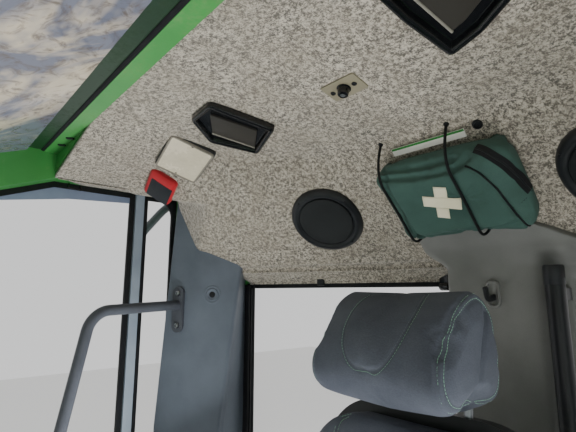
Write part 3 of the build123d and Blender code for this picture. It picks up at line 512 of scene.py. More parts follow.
lip = surface("felt_rear_lip", [rolled_lip(-642, -60), rolled_lip(118, 642)], felt, caps=False, around=False,
              sharp=80)
face_down(lip, 2)
thicken(lip, 4)


def side_roll(side):
    """Felt that covers the underside of a side beam: flat across, its outer edge swinging out from the felt's
    own edge to the window seal by a smooth step along the cab."""
    y = np.linspace(196, 530, 60)
    s = np.clip((y - 196) / 75, 0, 1)
    outer = 736 + 42 * s * s * (3 - 2 * s)
    t = np.linspace(0, 1, 8)
    x = 733 + (outer[:, None] - 733) * t
    z = 1774.2 + 3.4 * t + 0 * x
    return np.stack([side * x, y[:, None] + 0 * x, z], -1)


roll = surface("felt_side_rolls", [side_roll(-1), side_roll(1)], felt, caps=False, around=False, sharp=80)
for face in roll.data.polygons:
    if face.normal.z > 0:
        face.flip()
thicken(roll, 1.5)

# Moulded pillar trims: a plan with rounded corners that leans inwards above lean_start
trim_low = np.array([(779, 494), (709, 526), (623, 603), (640, 624), (660, 705), (700, 600), (730, 537),
                     (779.5, 537)], float)
trim_high = np.array([(740, 518.5), (644.6, 574.7), (571.5, 657), (588.5, 678.4), (660, 705), (700, 600),
                      (730, 537), (779.5, 537)], float)


def trim_corners(height):
    """Corners of the trim's plan at a height: straight below lean_start, then sliding evenly to the top plan."""
    return trim_low + (trim_high - trim_low) * max(height - lean_start, 0) / lean_rise


trim_rounding = (3, 30, 12, 5, 0.5, 0.5, 0.5, 0.5)
trim_rows = [floor_top, 400, 800, 1148, *np.linspace(lean_start, opening_top - 1, 26)]
trims = []
for side in (-1, 1):
    grid = np.array([np.column_stack([rounded(trim_corners(h), trim_rounding, 9),
                                      np.full(8 * 9, float(h))]) for h in trim_rows])
    trims.append(grid * [side, 1, 1])
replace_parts(surface("pillar_trim_mouldings", trims, slate, sharp=50), "pillar_trims")


def column_row(z):
    """Plan of the column cover at a height. Its front is the plane y = 762 or, higher up, a plane 17 mm in
    front of the 45 degree felt slope, whichever is nearer, blended by a soft minimum; its sides widen into a
    flange by smooth steps."""
    def step(low, high):
        s = np.clip((z - low) / (high - low), 0, 1)
        return s * s * (3 - 2 * s)

    front = -7 * np.log(np.exp(-(762 - 740) / 7) + np.exp(-(2355 - z - 740) / 7)) + 740
    left = -66 - 40 * step(1545, 1588) + 10 * step(1615, 1642)
    right = 172 + 62 * step(1525, 1560) - 62 * step(1568, 1606) - 72 * step(1595, 1642)
    groove = 1 - step(1548, 1580)
    left_back, right_back = min(884, cover_slope - z), min(852, cover_slope - z)
    right_edge = min(right, 235)
    return [(left, left_back), (left + 3, front + 26 - 20 * step(1560, 1600)), (left + 20, front),
            (72, front), (114, front + 13 * groove), (128, front + 16 * groove + 20 * groove),
            (right_edge - 14, front + 40 * groove + 2), (right_edge, right_back)]


cover_heights = [floor_top, 500, 900, 1300, *np.linspace(1500, 1642, 40)]
cover = [np.insert(rounded(column_row(z), (1, 12, 12, 20, 14, 8, 8, 1), 7, closed=False), 2, z, axis=1)
         for z in cover_heights]
cover.append(cover[-1] * [1, 0, 1] + [0, cover_slope - cover_heights[-1] + 2, 1])
column_cover = surface("column_cover", np.array(cover), warm_grey, caps=False, around=False, sharp=60)
face_down(column_cover, 1)
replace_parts(column_cover, "column_trim")
down_front = unit((0, -1, -1))

# ---- soft pieces


def stuffed(name, node, material, body, voxel, cap, shrink):
    """Padded piece from a CAD solid: drawn in along its normals, remeshed into small voxels, blown up as cloth
    with no point moving further than the cap, then subdivided once."""
    mesh = nodes[node].data.copy()
    mesh.transform(nodes[node].matrix_world)
    mesh.materials.clear()
    mesh.materials.append(material)
    piece = bpy.data.objects.new(name, mesh)
    bpy.context.scene.collection.objects.link(piece)
    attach(piece, body)

    def settle():
        """Piece's mesh with its modifiers worked in."""
        graph = bpy.context.evaluated_depsgraph_get()
        done = bpy.data.meshes.new_from_object(piece.evaluated_get(graph))
        piece.modifiers.clear()
        piece.data = done

    def points():
        flat = np.empty(3 * len(piece.data.vertices))
        piece.data.vertices.foreach_get("co", flat)
        return flat.reshape(-1, 3)

    shell = bmesh.new()
    shell.from_mesh(mesh)
    bmesh.ops.remove_doubles(shell, verts=shell.verts, dist=1e-5)
    shell.to_mesh(mesh)
    shell.free()
    remesh = piece.modifiers.new("voxels", "REMESH")
    remesh.mode, remesh.voxel_size = "VOXEL", voxel / 1000
    settle()
    normals = np.empty(3 * len(piece.data.vertices))
    piece.data.vertex_normals.foreach_get("vector", normals)
    rest = points() - normals.reshape(-1, 3) * shrink / 1000
    piece.data.vertices.foreach_set("co", rest.ravel())
    cloth = piece.modifiers.new("stuffing", "CLOTH")
    cloth.settings.use_pressure = True
    cloth.settings.uniform_pressure_force = 4
    cloth.settings.effector_weights.gravity = 0
    cloth.settings.quality = 4
    cloth.collision_settings.use_collision = False
    cloth.point_cache.frame_start, cloth.point_cache.frame_end = 1, 20
    for step in range(1, 21):
        bpy.context.scene.frame_set(step)
    settle()
    bpy.context.scene.frame_set(1)
    moved = points() - rest
    length = np.linalg.norm(moved, axis=1, keepdims=True)
    moved *= np.minimum(1, cap / 1000 / np.maximum(length, 1e-9))
    piece.data.vertices.foreach_set("co", (rest + moved).ravel())
    finer = piece.modifiers.new("finer", "SUBSURF")
    finer.levels = finer.render_levels = 1
    settle()
    piece.data.polygons.foreach_set("use_smooth", np.ones(len(piece.data.polygons), bool))
    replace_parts(piece, node)
    return piece


def spaced(line, spacing):
    """Line with its points a set distance apart, by linear interpolation over its length."""
    line = np.asarray(line, float)
    run = np.concatenate([[0], np.cumsum(np.linalg.norm(np.diff(line, axis=0), axis=1))])
    at = np.linspace(0, run[-1], max(int(run[-1] / spacing), 2))
    return np.column_stack([np.interp(at, run, line[:, i]) for i in range(3)])


def nearest(piece, points, lift=0.0):
    """Points moved to the nearest place of a piece's surface, and the surface's normals there."""
    points, shape = np.asarray(points, float), piece.data
    skin = BVHTree.FromPolygons([v.co for v in shape.vertices], [p.vertices for p in shape.polygons])
    found = [skin.find_nearest(Vector(p / 1000))[:2] for p in points.reshape(-1, 3)]
    normals = unit([tuple(n) for _, n in found]).reshape(points.shape)
    return np.array([tuple(p) for p, _ in found]).reshape(points.shape) * 1000 + lift * normals, normals


def laid_on(piece, line, spacing=2.0, lift=0.0):
    """Line laid on a piece, with points a set distance apart."""
    return nearest(piece, spaced(line, spacing), lift)


def press_in(piece, lines, width, depth):
    """Seam channels: each point sinks along its normal by depth times exp(-(distance / width) squared)."""
    count = len(piece.data.vertices)
    flat, normals = np.empty(3 * count), np.empty(3 * count)
    piece.data.vertices.foreach_get("co", flat)
    piece.data.vertex_normals.foreach_get("vector", normals)
    flat, normals = flat.reshape(-1, 3), normals.reshape(-1, 3)
    seam = np.concatenate([laid_on(piece, line, 3.0)[0] for line in lines]) / 1000
    closest = np.full(count, 1.0)
    for part in np.array_split(seam, max(len(seam) // 60, 1)):
        closest = np.minimum(closest, np.linalg.norm(flat[:, None] - part[None], axis=2).min(1))
    sink = depth / 1000 * np.exp(-(closest * 1000 / width)**2)
    piece.data.vertices.foreach_set("co", (flat - normals * sink[:, None]).ravel())
    piece.data.update()


def eased(values):
    """Values along a line, each averaged with its neighbours by the weights 1, 2, 1, four times."""
    for _ in range(4):
        values = np.concatenate([values[:1], (values[:-2] + 2 * values[1:-1] + values[2:]) / 4, values[-1:]])
    return values


def sew(name, piece, lines, material, body, pitch=5.0, thread=0.32, shift=0.0, lift=0.2):
    """Row of stitches along lines on a piece: short capsules, shifted sideways on the surface."""
    rings = []
    for line in lines:
        at, normals = laid_on(piece, line, pitch)
        ahead = unit(np.gradient(eased(at), axis=0))
        side = unit(np.cross(eased(normals), ahead))
        at, normals = laid_on(piece, at + side * shift, pitch, lift)
        at, normals = eased(at), unit(eased(normals))
        ahead = unit(np.gradient(at, axis=0))
        side = unit(np.cross(normals, ahead))
        reach = np.array([-0.36, -0.28, 0.28, 0.36]) * pitch
        size = np.array([0.35, 1, 1, 0.35]) * thread
        a = np.linspace(0, 2 * np.pi, 5, endpoint=False)
        ring = (np.cos(a)[None, :, None] * side[:, None] + np.sin(a)[None, :, None] * normals[:, None])
        rings += list(at[:, None, None] + reach[None, :, None, None] * ahead[:, None, None]
                      + size[None, :, None, None] * ring[:, None])
    return surface(name, rings, material, body, sharp=80)


seat_x = 24
head_centre = np.array([492, 1432])
head_side = np.array([(500, 1507), (455, 1483), (427, 1450), (407, 1417), (404, 1388), (417, 1366), (440, 1356),
                      (480, 1355), (530, 1354), (560, 1364), (572, 1390), (570, 1435), (554, 1481),
                      (528, 1502)], float)


def round_headrest(x, scale):
    """Seam all the way round the headrest, at a place across it, on its side profile drawn in by a scale."""
    line = rounded(head_centre + (head_side - head_centre) * scale, 18, 4)
    line = np.concatenate([line, line[:1]])
    return np.column_stack([np.full(len(line), seat_x + x), line])


headrest = stuffed("headrest_pad", "headrest", knit, "headrest", 4.5, 7, 3.5)
insert = [(-47, 484, 1501), (-51, 466, 1490), (-53, 450, 1475), (-50, 430, 1452), (-43, 416, 1431),
          (-31, 408, 1413), (-15, 405, 1402), (0, 404, 1399)]
insert = [(seat_x + x, y, z) for x, y, z in insert + [(-x, y, z) for x, y, z in insert[-2::-1]]]
insert = rounded(insert, 8, 3, closed=False)
ends = [round_headrest(side * 101, 1.0) for side in (-1, 1)]
inner_ends = [round_headrest(side * 108, 0.84) for side in (-1, 1)]
lobes = [[(seat_x + side * 108, y, z) for y, z in ((528, 1478), (510, 1440), (499, 1404), (487, 1380),
                                                     (482, 1358), (480, 1350))] for side in (-1, 1)]
press_in(headrest, lobes, 5, 6.5)
press_in(headrest, [insert], 3.2, 2.2)
press_in(headrest, ends + inner_ends, 3, 1.6)
sew("headrest_insert_stitches", headrest, [insert], grey_thread, "headrest", 4.2, 0.3, 3.0)
sew("headrest_insert_outer_stitches", headrest, [insert], mint, "headrest", 4.2, 0.28, -3.0)
sew("headrest_end_stitches", headrest, ends, mint, "headrest", 4.6, 0.4, 2.5)
sew("headrest_inner_stitches", headrest, inner_ends, mint, "headrest", 4.6, 0.4, -2.5)

lean = math.radians(8)


def on_backrest(x, up, out=45.0):
    """Point on the backrest: across, up along it and out of its front."""
    return (seat_x + x, 400 + up * math.sin(lean) - out * math.cos(lean),
            500 + up * math.cos(lean) + out * math.sin(lean))


backrest = stuffed("backrest_pad", "backrest_cushion", knit, "backrest", 8, 12, 4.5)
back_seams = [[on_backrest(side * (111 + 12 * np.sin(up / 250)), up) for up in np.linspace(110, 838, 40)]
              for side in (-1, 1)]
back_seams.append([on_backrest(x, 590) for x in np.linspace(-105, 105, 12)])
back_seams.append([on_backrest(x, 330) for x in np.linspace(-118, 118, 12)])
press_in(backrest, back_seams, 9, 6)
sew("backrest_stitches", backrest, back_seams, mint, "backrest", 6, 0.45, 4)
sew("backrest_outer_stitches", backrest, back_seams, mint, "backrest", 6, 0.45, -4)

seat_pad = stuffed("seat_pad", "seat_cushion", knit, "seat", 7, 10, 4)
pad_seams = [[(seat_x + side * 128, y, 585) for y in np.linspace(-58, 312, 20)] for side in (-1, 1)]
pad_seams.append([(seat_x + x, 70, 585) for x in np.linspace(-126, 126, 12)])
press_in(seat_pad, pad_seams, 9, 6)
sew("seat_stitches", seat_pad, pad_seams, mint, "seat", 6, 0.45, 4)

# First aid bag: across, up and out from the middle of its back, on the 45 degree slope
bag_middle = np.array([27, 678, 1694])
bag_up, bag_out = np.array([0, -0.70711, 0.70711]), np.array([0, -0.70711, -0.70711])


def on_bag(points):
    """Points of the bag's own drawing (across, up, out) in the cab."""
    p = np.asarray(points, float).reshape(-1, 3)
    return bag_middle + p[:, :1] * [1, 0, 0] + p[:, 1:2] * bag_up + p[:, 2:] * bag_out


bag = stuffed("first_aid_bag_shell", "first_aid_bag", bag_cloth, "root", 4.5, 9, 4.5)
flap_fold = on_bag([(-112, 74, 52), (-70, 70, 56), (-30, 64, 56), (10, 60, 56), (40, 64, 56), (62, 76, 54)])
second_fold = on_bag([(-116, 84, 36), (-70, 82, 44), (-20, 78, 48), (40, 80, 48)])
left_edge = on_bag([(-90, 84, 44), (-96, 40, 56), (-93, -10, 56), (-88, -60, 56), (-80, -88, 40)])
pocket_edge = on_bag([(-120, 60, 40), (-118, 30, 44), (-112, -20, 46), (-104, -60, 44), (-92, -86, 36)])
right_edge = on_bag([(58, 64, 55), (76, 50, 56), (88, 20, 56), (97, -25, 56), (104, -60, 54), (108, -86, 40)])
low_fold = on_bag([(-84, -70, 56), (-30, -78, 54), (30, -76, 54), (96, -58, 55)])
side_seam = on_bag([(126, -20, 30), (112, -28, 50), (97, -30, 56)])
press_in(bag, [flap_fold, second_fold, low_fold], 5.5, 5.0)
press_in(bag, [left_edge, pocket_edge], 5.0, 5.5)
press_in(bag, [right_edge], 3.5, 3.0)
press_in(bag, [on_bag([(33 + r * math.cos(a), 5 + r * math.sin(a), 56) for r in (4, 34)])
               for a in (0.2, 0.7, -0.4, 2.9, 3.4, 2.4)], 3.0, 2.0)
press_in(bag, [on_bag([(x, 90, 40), (x, 60, 57), (x, 0, 57), (x, -60, 57), (x, -90, 40)])
               for x in (-100, 33)], 6.0, 3.5)
sew("bag_seam_thread", bag, [side_seam], elastic, "root", 4, 0.4)


def trimming(name, line, radius, material, lift, wide=1.0):
    """Piping or tape laid on the bag: a flattened ring carried along a line on its surface."""
    at, normals = laid_on(bag, line, 2.5, lift)
    at, normals = eased(eased(at)), unit(eased(eased(normals)))
    ahead = unit(np.gradient(at, axis=0))
    side = unit(np.cross(ahead, normals))
    ring = circle(radius, 10, wide)
    grid = at[:, None] + ring[None, :, :1] * side[:, None] + ring[None, :, 1:] * normals[:, None]
    return surface(name, grid, material, sharp=60)


trimming("bag_right_piping", rounded(right_edge, 20, 4, closed=False), 1.7, elastic, 0.9)
trimming("bag_left_piping", rounded(pocket_edge, 15, 4, closed=False), 1.2, elastic, 0.7)
zip_line = rounded(on_bag([(78, 86, 44), (100, 74, 53), (116, 44, 50), (124, 8, 42), (127, -16, 34)]), 25, 5,
                   closed=False)
trimming("bag_zip_tape", zip_line, 1.0, elastic, 0.2, 8.0)
trimming("bag_zip_teeth", zip_line, 1.1, black_plastic, 0.9, 1.6)

# Bag's cross, cords and card
cross_turn = math.radians(-17)
cross_arms = []
for low, high, wide in (((-33, -11), (33, 11), 12), ((-11, 11), (11, 33), 6), ((-11, -33), (11, -11), 6)):
    a, b = np.meshgrid(np.linspace(low[0], high[0], wide), np.linspace(low[1], high[1], 6), indexing="ij")
    across_bag = -5 + a * math.cos(cross_turn) - b * math.sin(cross_turn)
    up_bag = 6 + a * math.sin(cross_turn) + b * math.cos(cross_turn)
    flat = on_bag(np.stack([across_bag, up_bag, 60 + 0 * a], -1))
    cross_arms.append(nearest(bag, flat.reshape(a.shape + (3,)), 0.7)[0])
cross = surface("bag_cross", cross_arms, cream, caps=False, around=False, sharp=80)
thicken(cross, 0.6)

cord_places, cord_length, cord_thick = (-100, 33), 0.278, 0.005
for name, x in zip(("bag_right_cord", "bag_left_cord"), cord_places):
    route = on_bag([(x, 118.1, 3), (x, 90, 63), (x, 15, 59), (x, -36, 59), (x, -90, 59), (x, -88, 2)]) / 1000
    curve = bpy.data.curves.new(name, "CURVE")
    curve.dimensions = "3D"
    curve.bevel_depth, curve.bevel_resolution, curve.resolution_u = cord_thick / 2, 3, 12
    curve.use_fill_caps = True
    spline = curve.splines.new("NURBS")
    spline.points.add(len(route) - 1)
    for place, p in zip(spline.points, route):
        place.co = (*p, 1)
    spline.order_u, spline.use_endpoint_u = 3, True
    curve.materials.append(elastic)
    cord = bpy.data.objects.new(name, curve)
    bpy.context.scene.collection.objects.link(cord)
    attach(cord, "root")
    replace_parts(cord, "bag_cords")

surface("card_stripe", stepped(oblong(139, 4, (-12, 102.2)), [(0, 6.5), (0, 7.3)], bag_middle, right_way, bag_out,
                               0.8), leaf_green, sharp=30)

# Speakers: a dished ring, a fine-textured disc a hair's breadth inside it, four screws
rings, discs, heads = [], [], []
for side, middle in ((1, (-291, 671, 1669.1)), (-1, (265, 682.4, 1669.1))):
    axis = unit((side * 0.289, -0.657, -0.697))
    rings.append(turned([(86, -0.5), (85.6, 3), (84, 6), (81, 9), (77, 11.6), (73, 12.3), (70, 11.6), (67.5, 9),
                         (66, 8), (65, 6.4), (63.6, 6.2)], middle, axis, 56))
    discs.append(turned([(63, 5), (63, 8.4), (62.2, 9.6), (60, 10.2), (56, 10), (45, 10.4), (25, 10.9), (0.01, 11.1)],
                        middle, axis, 56))
    sideways = unit(np.cross(axis, upward))
    uphill = np.cross(sideways, axis)
    for a in (0.85, 2.42, 3.99, 5.56):
        place = middle + 76.5 * (math.cos(a) * sideways + math.sin(a) * uphill) + 11.4 * axis
        heads.append(screw(place, axis, 2.6, 1.6))
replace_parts(surface("speaker_rings", rings, charcoal), "speakers")
surface("speaker_discs", discs, grille)
surface("speaker_screws", heads, black_paint, sharp=30)

# Dome light: thin dark base, warm lens with a bead round it, two screws. The bead's grey is partly the frame's own grey
# and partly painted shade round the lens
lamp_at, lamp_x, lamp_axis = (-485.7, 402.1, 1809.1), (-0.235, -0.915, 0.329), (0.22, -0.38, -0.90)
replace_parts(surface("dome_light_base", stepped(oblong(108, 132), [(0, -26), *rolled(-20, 3, 2.5)[1:]], lamp_at, lamp_x,
                                               lamp_axis, 12), charcoal), "dome_light")
surface("dome_light_lens", stepped(oblong(100, 124), [(0, 2), (0, 5), (0.8, 6.6), (2.4, 7.4), (4.2, 6.9), (5.4, 6.2),
                                                       (9, 6.6), (24, 7.6), (40, 8)], lamp_at, lamp_x, lamp_axis, 9),
        lens)
lamp_long = np.cross(unit(lamp_axis), unit(np.array(lamp_x)))
surface("dome_light_frame", stepped(oblong(103, 127), [(0, 2), (0, 7), (1.2, 8.6), (3, 8.9), (4.6, 8), (5, 6), (5, 2)],
                                    lamp_at, lamp_x, lamp_axis, 10), frame_grey_and_painted_shade, along=True,
        caps=False)
screws("dome_light_screws", [lamp_at + side * 56.5 * lamp_long + 5.6 * unit(lamp_axis) for side in (-1, 1)],
       lamp_axis, 2.6, 1.6)

# Red switch box with pillowed edges and a blank dark label
box_at, box_x, box_axis = (-623, 404, 1763), (-74, 9, -47), (0.289, -0.657, -0.697)
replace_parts(surface("red_box_shell", stepped(oblong(88, 75), [(0, -30), (0, -9), (1.2, -5), (4, -1.8), (8, -0.3),
                                                               (12, 0)], box_at, box_x, box_axis, 13),
                    red_plastic), "red_switch_box")
surface("red_box_label", [stepped(oblong(58, 60, (10, 4)), rolled(-0.8, 0.5, 0.4), box_at, box_x, box_axis, 3),
                          stepped(oblong(36, 14, (-2, -18)), rolled(0, 0.9, 0.4), box_at, box_x, box_axis, 2)],
        sticker, sharp=30)

# Air outlets: a rolled glossy rim, a deep mouth and a grey flap inside it with a rolled lip, coloured pale grey as a
# painted highlight
outlet_axis, outlet_at = (0, -slope_fall, -1), (0, slope_start, ceiling)
rims, flaps, lips = [], [], []
for corners, flap in ((((-246, 324), (-204, 445), (-312, 488), (-369, 401), (-325, 331)),
                       [(-281.5, -22.6), (-245.8, -110.8), (-303.4, -150), (-337, -64)]),
                      (((225, 262), (128, 292), (133, 369), (148, 453), (200, 436), (262, 400)), None)):
    flat = np.array([(x, -(y - slope_start) * 1.03) for x, y in corners])
    rims.append(stepped(flat, [(0, 0.3), (0, 9), (0.8, 12), (2.6, 13.9), (5, 14.3), (7.4, 13.9), (9.4, 12.4),
                               (10.6, 9.5), (12.5, 3.5), (14.5, 2.6)], outlet_at, right_way, outlet_axis, 11))
    flap = drawn_in(flat, 26) if flap is None else np.array(flap)
    flaps.append(stepped(flap, rolled(2, 7, 1.6), outlet_at, right_way, outlet_axis, 5))
    edge = flap[[3, 2]] if len(flap) == 4 else flap[[1, 3]]
    line = (np.array(outlet_at) + edge[:, :1] * [1, 0, 0] + edge[:, 1:] * [0, -0.9708, 0.2398]
            + 7.2 * unit(outlet_axis))
    lips.append(carried(spaced(line, 10), circle(1.9, 10), outlet_axis))
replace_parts(surface("outlet_rims", rims, gloss_black), "air_outlets")
surface("outlet_flaps", flaps, flap_grey, sharp=30)
surface("outlet_flap_lips", lips, painted_highlight_edge)

# Knob plate
knob_at = np.array((-20, 432, 1820))
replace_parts(surface("knob_plate", stepped(oblong(68, 40), rolled(0, 3, 1), knob_at, right_way, outlet_axis, 4),
                    plate_grey), "ceiling_knob_plate")
screws("knob_screws", [knob_at + [x, 0, 0] + 2.6 * unit(outlet_axis) for x in (-23, 21)], outlet_axis, 4.4, 2.4)
surface("knob", [turned([(11.5, 2.5), (11.5, 4), (9.5, 5), (9, 12), (8.4, 15.5), (6.5, 17), (4.6, 17.2), (4.4, 15),
                         (0.01, 14.6)], knob_at, outlet_axis, 28)], gloss_black)
surface("knob_pin", [turned([(4.1, 13), (4.1, 16.2), (3.2, 17.2), (0.01, 17.6)], knob_at, outlet_axis, 20)], steel)

# Pillar trim's round cap, the rail's bolts, screws of the column cover, the fastener on the slope
cap_axis = unit((0.712, -0.702, 0))
caps, plugs = [], []
for side in (-1, 1):
    spot, facing = (side * 644, 583, 1498), cap_axis * [-side, 1, 1]
    caps.append(turned([(25, -1), (25, 0.8), (23.5, 1.7), (21, 1.5), (18.5, 0.4), (17.6, 0.2), (17, 1.4), (15.5, 2.2),
                        (11, 1.2), (9, -0.4), (0.01, -0.6)], spot, facing, 36))
    plugs.append(turned([(8.2, -2), (8.2, 0.3), (6.5, 0.9), (0.01, 0.6)], spot, facing, 20))
surface("pillar_trim_caps", caps, slate)
surface("pillar_cap_plugs", plugs, black_plastic)
bolt_axis = unit((0.468, -0.884, 0))
screws("rail_bolts", [np.array((-722, 526, z)) + 7.5 * bolt_axis for z in (1502, 1415)], bolt_axis, 7.5, 5.5, steel)
flange_screws = [(-73, 767, 1588), (93, 762, 1593)]
surface("column_screw_dimples", [turned([(13, -1.4), (12.4, 0.7), (11, 0.9), (8.5, 0.1), (6.5, -0.3), (0.01, -0.5)],
                                        p, down_front, 28) for p in flange_screws], warm_grey)
screws("column_screws", flange_screws, down_front, 5.2, 2.2)
surface("slope_fastener", [turned([(8.5, -3), (8.5, 2), (7.5, 3.6), (5.2, 3.8), (4.4, 2), (0.01, 1.6)],
                                  (105.5, 605.8, 1766.2), down_front, 24)], black_plastic)
surface("cord_hooks", [turned([(5, -3), (5, 3), (3.6, 5), (0.01, 5.4)], on_bag([(x, 119, 0)])[0], down_front, 18)
                       for x in cord_places], black_plastic)

# Coat hook: a shallow oval shell with a dark pocket and a folded arm
hook_at, hook_axis = np.array((40, 762, 1500)), (0, -1, 0)
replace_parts(surface("coat_hook_shell", stepped(oblong(26, 50), [(0, -1), (0, 3), (1.5, 5.5), (3.5, 6), (5.2, 4.8),
                                                                 (6, 1.2), (7, 0.8)], hook_at, right_way, hook_axis,
                                               12), warm_grey), "coat_hook")
surface("coat_hook_arm", [carried(rounded([(40, 762, 1494), (40, 734, 1490), (40, 728, 1512)], 9, 6, closed=False),
                                  rounded(oblong(12, 6), 2.6, 4), (1, 0, 0))], charcoal)

# Latch of the rear window beside the column, clip under the lip, clips on the cross bar, loop on the seal
latch_x = (1, -0.3, 0)
surface("window_latch", [stepped(oblong(30, 36), rolled(-4, 12, 4), (-108, 868, 1528), latch_x, (-0.287, -0.958, 0), 6),
                         turned([(8, -14), (9, -12), (9, 10), (8, 12), (0.01, 12)], (-104, 852, 1516), latch_x,
                                20)], gloss_black)
surface("lip_clip", [stepped(oblong(20, 34), rolled(-2, 7, 2.5), (-416, 776, 1538), (1, 0.3, 0), (0.287, -0.958, 0),
                             4)], black_plastic)
surface("bar_clips", [stepped(oblong(16, 9), rolled(-1, 5, 1.5), p, (0.55, 0.83, 0), (0, 0, -1), 2)
                      for p in ((-653, 180, 1838), (-594, 182, 1838))], black_plastic)
surface("seal_loop", [carried(rounded([(-776, 232, 1778), (-770, 228, 1766), (-770, 262, 1762), (-776, 258, 1774)],
                                      4, 4, closed=False), circle(1.8, 8), (1, 0, 0))], gloss_black)

# Dark fillets that round off the upper rear corner of the quarter glass, and the tinted band of the side glass
fillets = []
for side in (-1, 1):
    a = np.linspace(0, np.pi / 2, 10)
    y = np.concatenate([[519], 469 + 50 * np.sin(a)])
    z = np.concatenate([[1770], 1720 + 50 * np.cos(a)])
    fillets.append(np.stack([np.stack([side * x + 0 * y, y, z], -1) for x in (788, 781)]))
surface("quarter_glass_fillets", fillets, rubber, sharp=30)
y = np.array([60, 240, 405.0])
low, high = np.array([1712, 1741, 1751.0]), np.array([1736, 1782, 1775.0])
band = np.stack([np.stack([x + 0 * y, y, z], -1) for x, z in ((-793, low), (-793, high), (-794.5, high),
                                                               (-794.5, low))], 1)
surface("side_glass_band", [band], band_tint, sharp=20)


# Seat: bellows, consoles, grips, armrest pads


def folds(z):
    """Half sizes of the bellows at a height: five round folds, 16 mm deep, by a cosine."""
    inset = 8 * (1 - np.cos(2 * np.pi * (z - 170) / 40))
    return 163 - inset, 173 - inset


bellows = []
for z in np.linspace(170, 370, 81):
    half_x, half_y = folds(z)
    bellows.append(np.insert(rounded(oblong(2 * half_x, 2 * half_y, (seat_x, 150)), 38, 6), 2, z, axis=1))
seat_at = (seat_x, 150, 0)
plate_rings = [(3, 368), (0, 371), (0, 396), (3, 399)]
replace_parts(surface("seat_bellows", [np.array(bellows)], rubber, sharp=60), "seat_pedestal")
surface("seat_bellows_plates", [stepped(oblong(420, 440), rolled(154, 172, 3), seat_at, *level, 30),
                                stepped(oblong(380, 400), plate_rings, seat_at, *level, 30)], dark_steel)
screws("seat_bellows_bolts", [(seat_x + x, 150 + y, 171.5) for x in (-190, 190) for y in (-198, 198)], upward, 9, 6,
       steel)

for name in ("right", "left"):
    body = f"{name}_arm"
    (left, front, low), (right, back, _) = box_mm(f"{name}_joystick_console")
    across, along = (left + right) / 2, (front + back) / 2
    console = stepped(oblong(right - left, back - front),
                      [(3, low), (0, low + 3), (0, low + 36), (1.5, low + 40), (4, low + 42.5), (9, low + 44)],
                      (across, along, 0), *level, 26)
    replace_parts(surface(f"{name}_console", console, charcoal, body), f"{name}_joystick_console")
    arm_low, arm_high = box_mm(f"{name}_armrest")
    foot = arm_high[2] - 4
    arm_pad = surface(f"{name}_armrest_pad", stepped(
        oblong(arm_high[0] - arm_low[0] - 4, arm_high[1] - arm_low[1] - 46),
        [(1.5, foot), (0, foot + 3.5), (0.6, foot + 7), (2.6, foot + 10), (7, foot + 12.2), (14, foot + 13)],
        ((arm_low[0] + arm_high[0]) / 2, (arm_low[1] + arm_high[1]) / 2 - 18, 0), *level, 18), charcoal, body)
    stem = np.array((across, along - 10, low + 44))
    boot = [(34 - 3.2 * i - (3 if i % 2 else 0), 3.4 * i) for i in range(8)]
    surface(f"{name}_joystick_boot", turned([(34, -1), *boot, (9, 30), (0.01, 31)], stem, upward, 28), rubber, body)
    grip = []
    for s in np.linspace(0, 1, 20):
        wide = 11 + 6 * math.sin(math.pi * min(s * 1.15, 1)) ** 2 + 5 * s * s
        grip.append(np.insert(circle(wide, 20) * [1, (wide + 4) / wide] + [0, -14 * s * s], 2, 26 + 86 * s, axis=1))
    for radius, rise in ((17, 2.4), (10, 4), (0.1, 4.4)):
        grip.append(np.insert(circle(radius, 20) * [1, 1.15] + [0, -14.5], 2, 112 + rise, axis=1))
    surface(f"{name}_joystick_grip", np.array(grip) + stem, charcoal, body, sharp=70)
    surface(f"{name}_joystick_buttons", [turned([(4, -2), (4, 1.4), (3.2, 2.2), (0.01, 2.4)],
                                                stem + [x, y - 14.5, 115], upward, 14)
                                         for x, y in ((-6, -6), (6, -6), (0, 6))], steel, body)
    surface(f"{name}_console_keys", [stepped(oblong(13, 10, (x, y)), rolled(-1, 3, 1.2),
                                             (across, along + 40, low + 43.5), *level, 2)
                                     for x in (-32, -16, 0, 16, 32) for y in (0, 15, 30)], black_plastic, body,
            sharp=30)

# Display: a dark glass panel with a thin bezel line and keys under it
screen_low, screen_high = box_mm("display_screen")
screen_at = (screen_low + screen_high) / 2
screen_at[1] = screen_high[1] - 3
surface("display_panel", stepped(oblong(230, 144), rolled(-1, 1.2, 0.8), screen_at, right_way, (0, 1, 0), 4),
        panel_glass, sharp=30)

# Pedals: rubber ribs across the treads
surface("pedal_ribs", [carried(np.array([(x - 34, y, z), (x + 34, y, z)], float), rounded(oblong(5, 4), 1.5, 3),
                               (0, 0.86, 0.5))
                       for x in (-110, 110)
                       for y, z in zip(np.linspace(-704, -779, 6), np.linspace(196, 300, 6))], rubber)

# Mat: ribs along the cab
mat_low, mat_high = box_mm("floor_mat")
rib = np.array([(-3, -0.5), (3, -0.5), (1.8, 1.7), (-1.8, 1.7)])
surface("mat_ribs", [carried(np.array([(x, mat_low[1] + 45, mat_high[2]), (x, mat_high[1] - 45, mat_high[2])]), rib,
                             upward) for x in np.arange(mat_low[0] + 50, mat_high[0] - 40, 24)], rubber, sharp=30)

# Work lights: bezel, lens and a grid of small reflectors
light_low, light_high = box_mm("work_lights")
bezels, dots = [], []
for x in (-600, -300, 300, 600):
    at = (x, light_low[1], light_high[2] - 42)
    bezels.append(stepped(oblong(126, 80), [(0, -2), (0, 1), (1.5, 2.4), (4, 2.6), (6, 0.6), (6.5, 0.2)], at, (1, 0, 0),
                          (0, -1, 0), 11))
    for row in (-1, 0, 1):
        for column in (-2, -1, 0, 1, 2):
            dots.append(turned([(9.4, 0), (9.4, 1.4), (7, 2.2), (4, 3), (0.01, 3.2)],
                               (x + 21 * column, at[1], at[2] + 21 * row), (0, -1, 0), 12))
surface("work_light_bezels", bezels, black_plastic)
surface("work_light_lenses", dots, clear_lens, sharp=60)
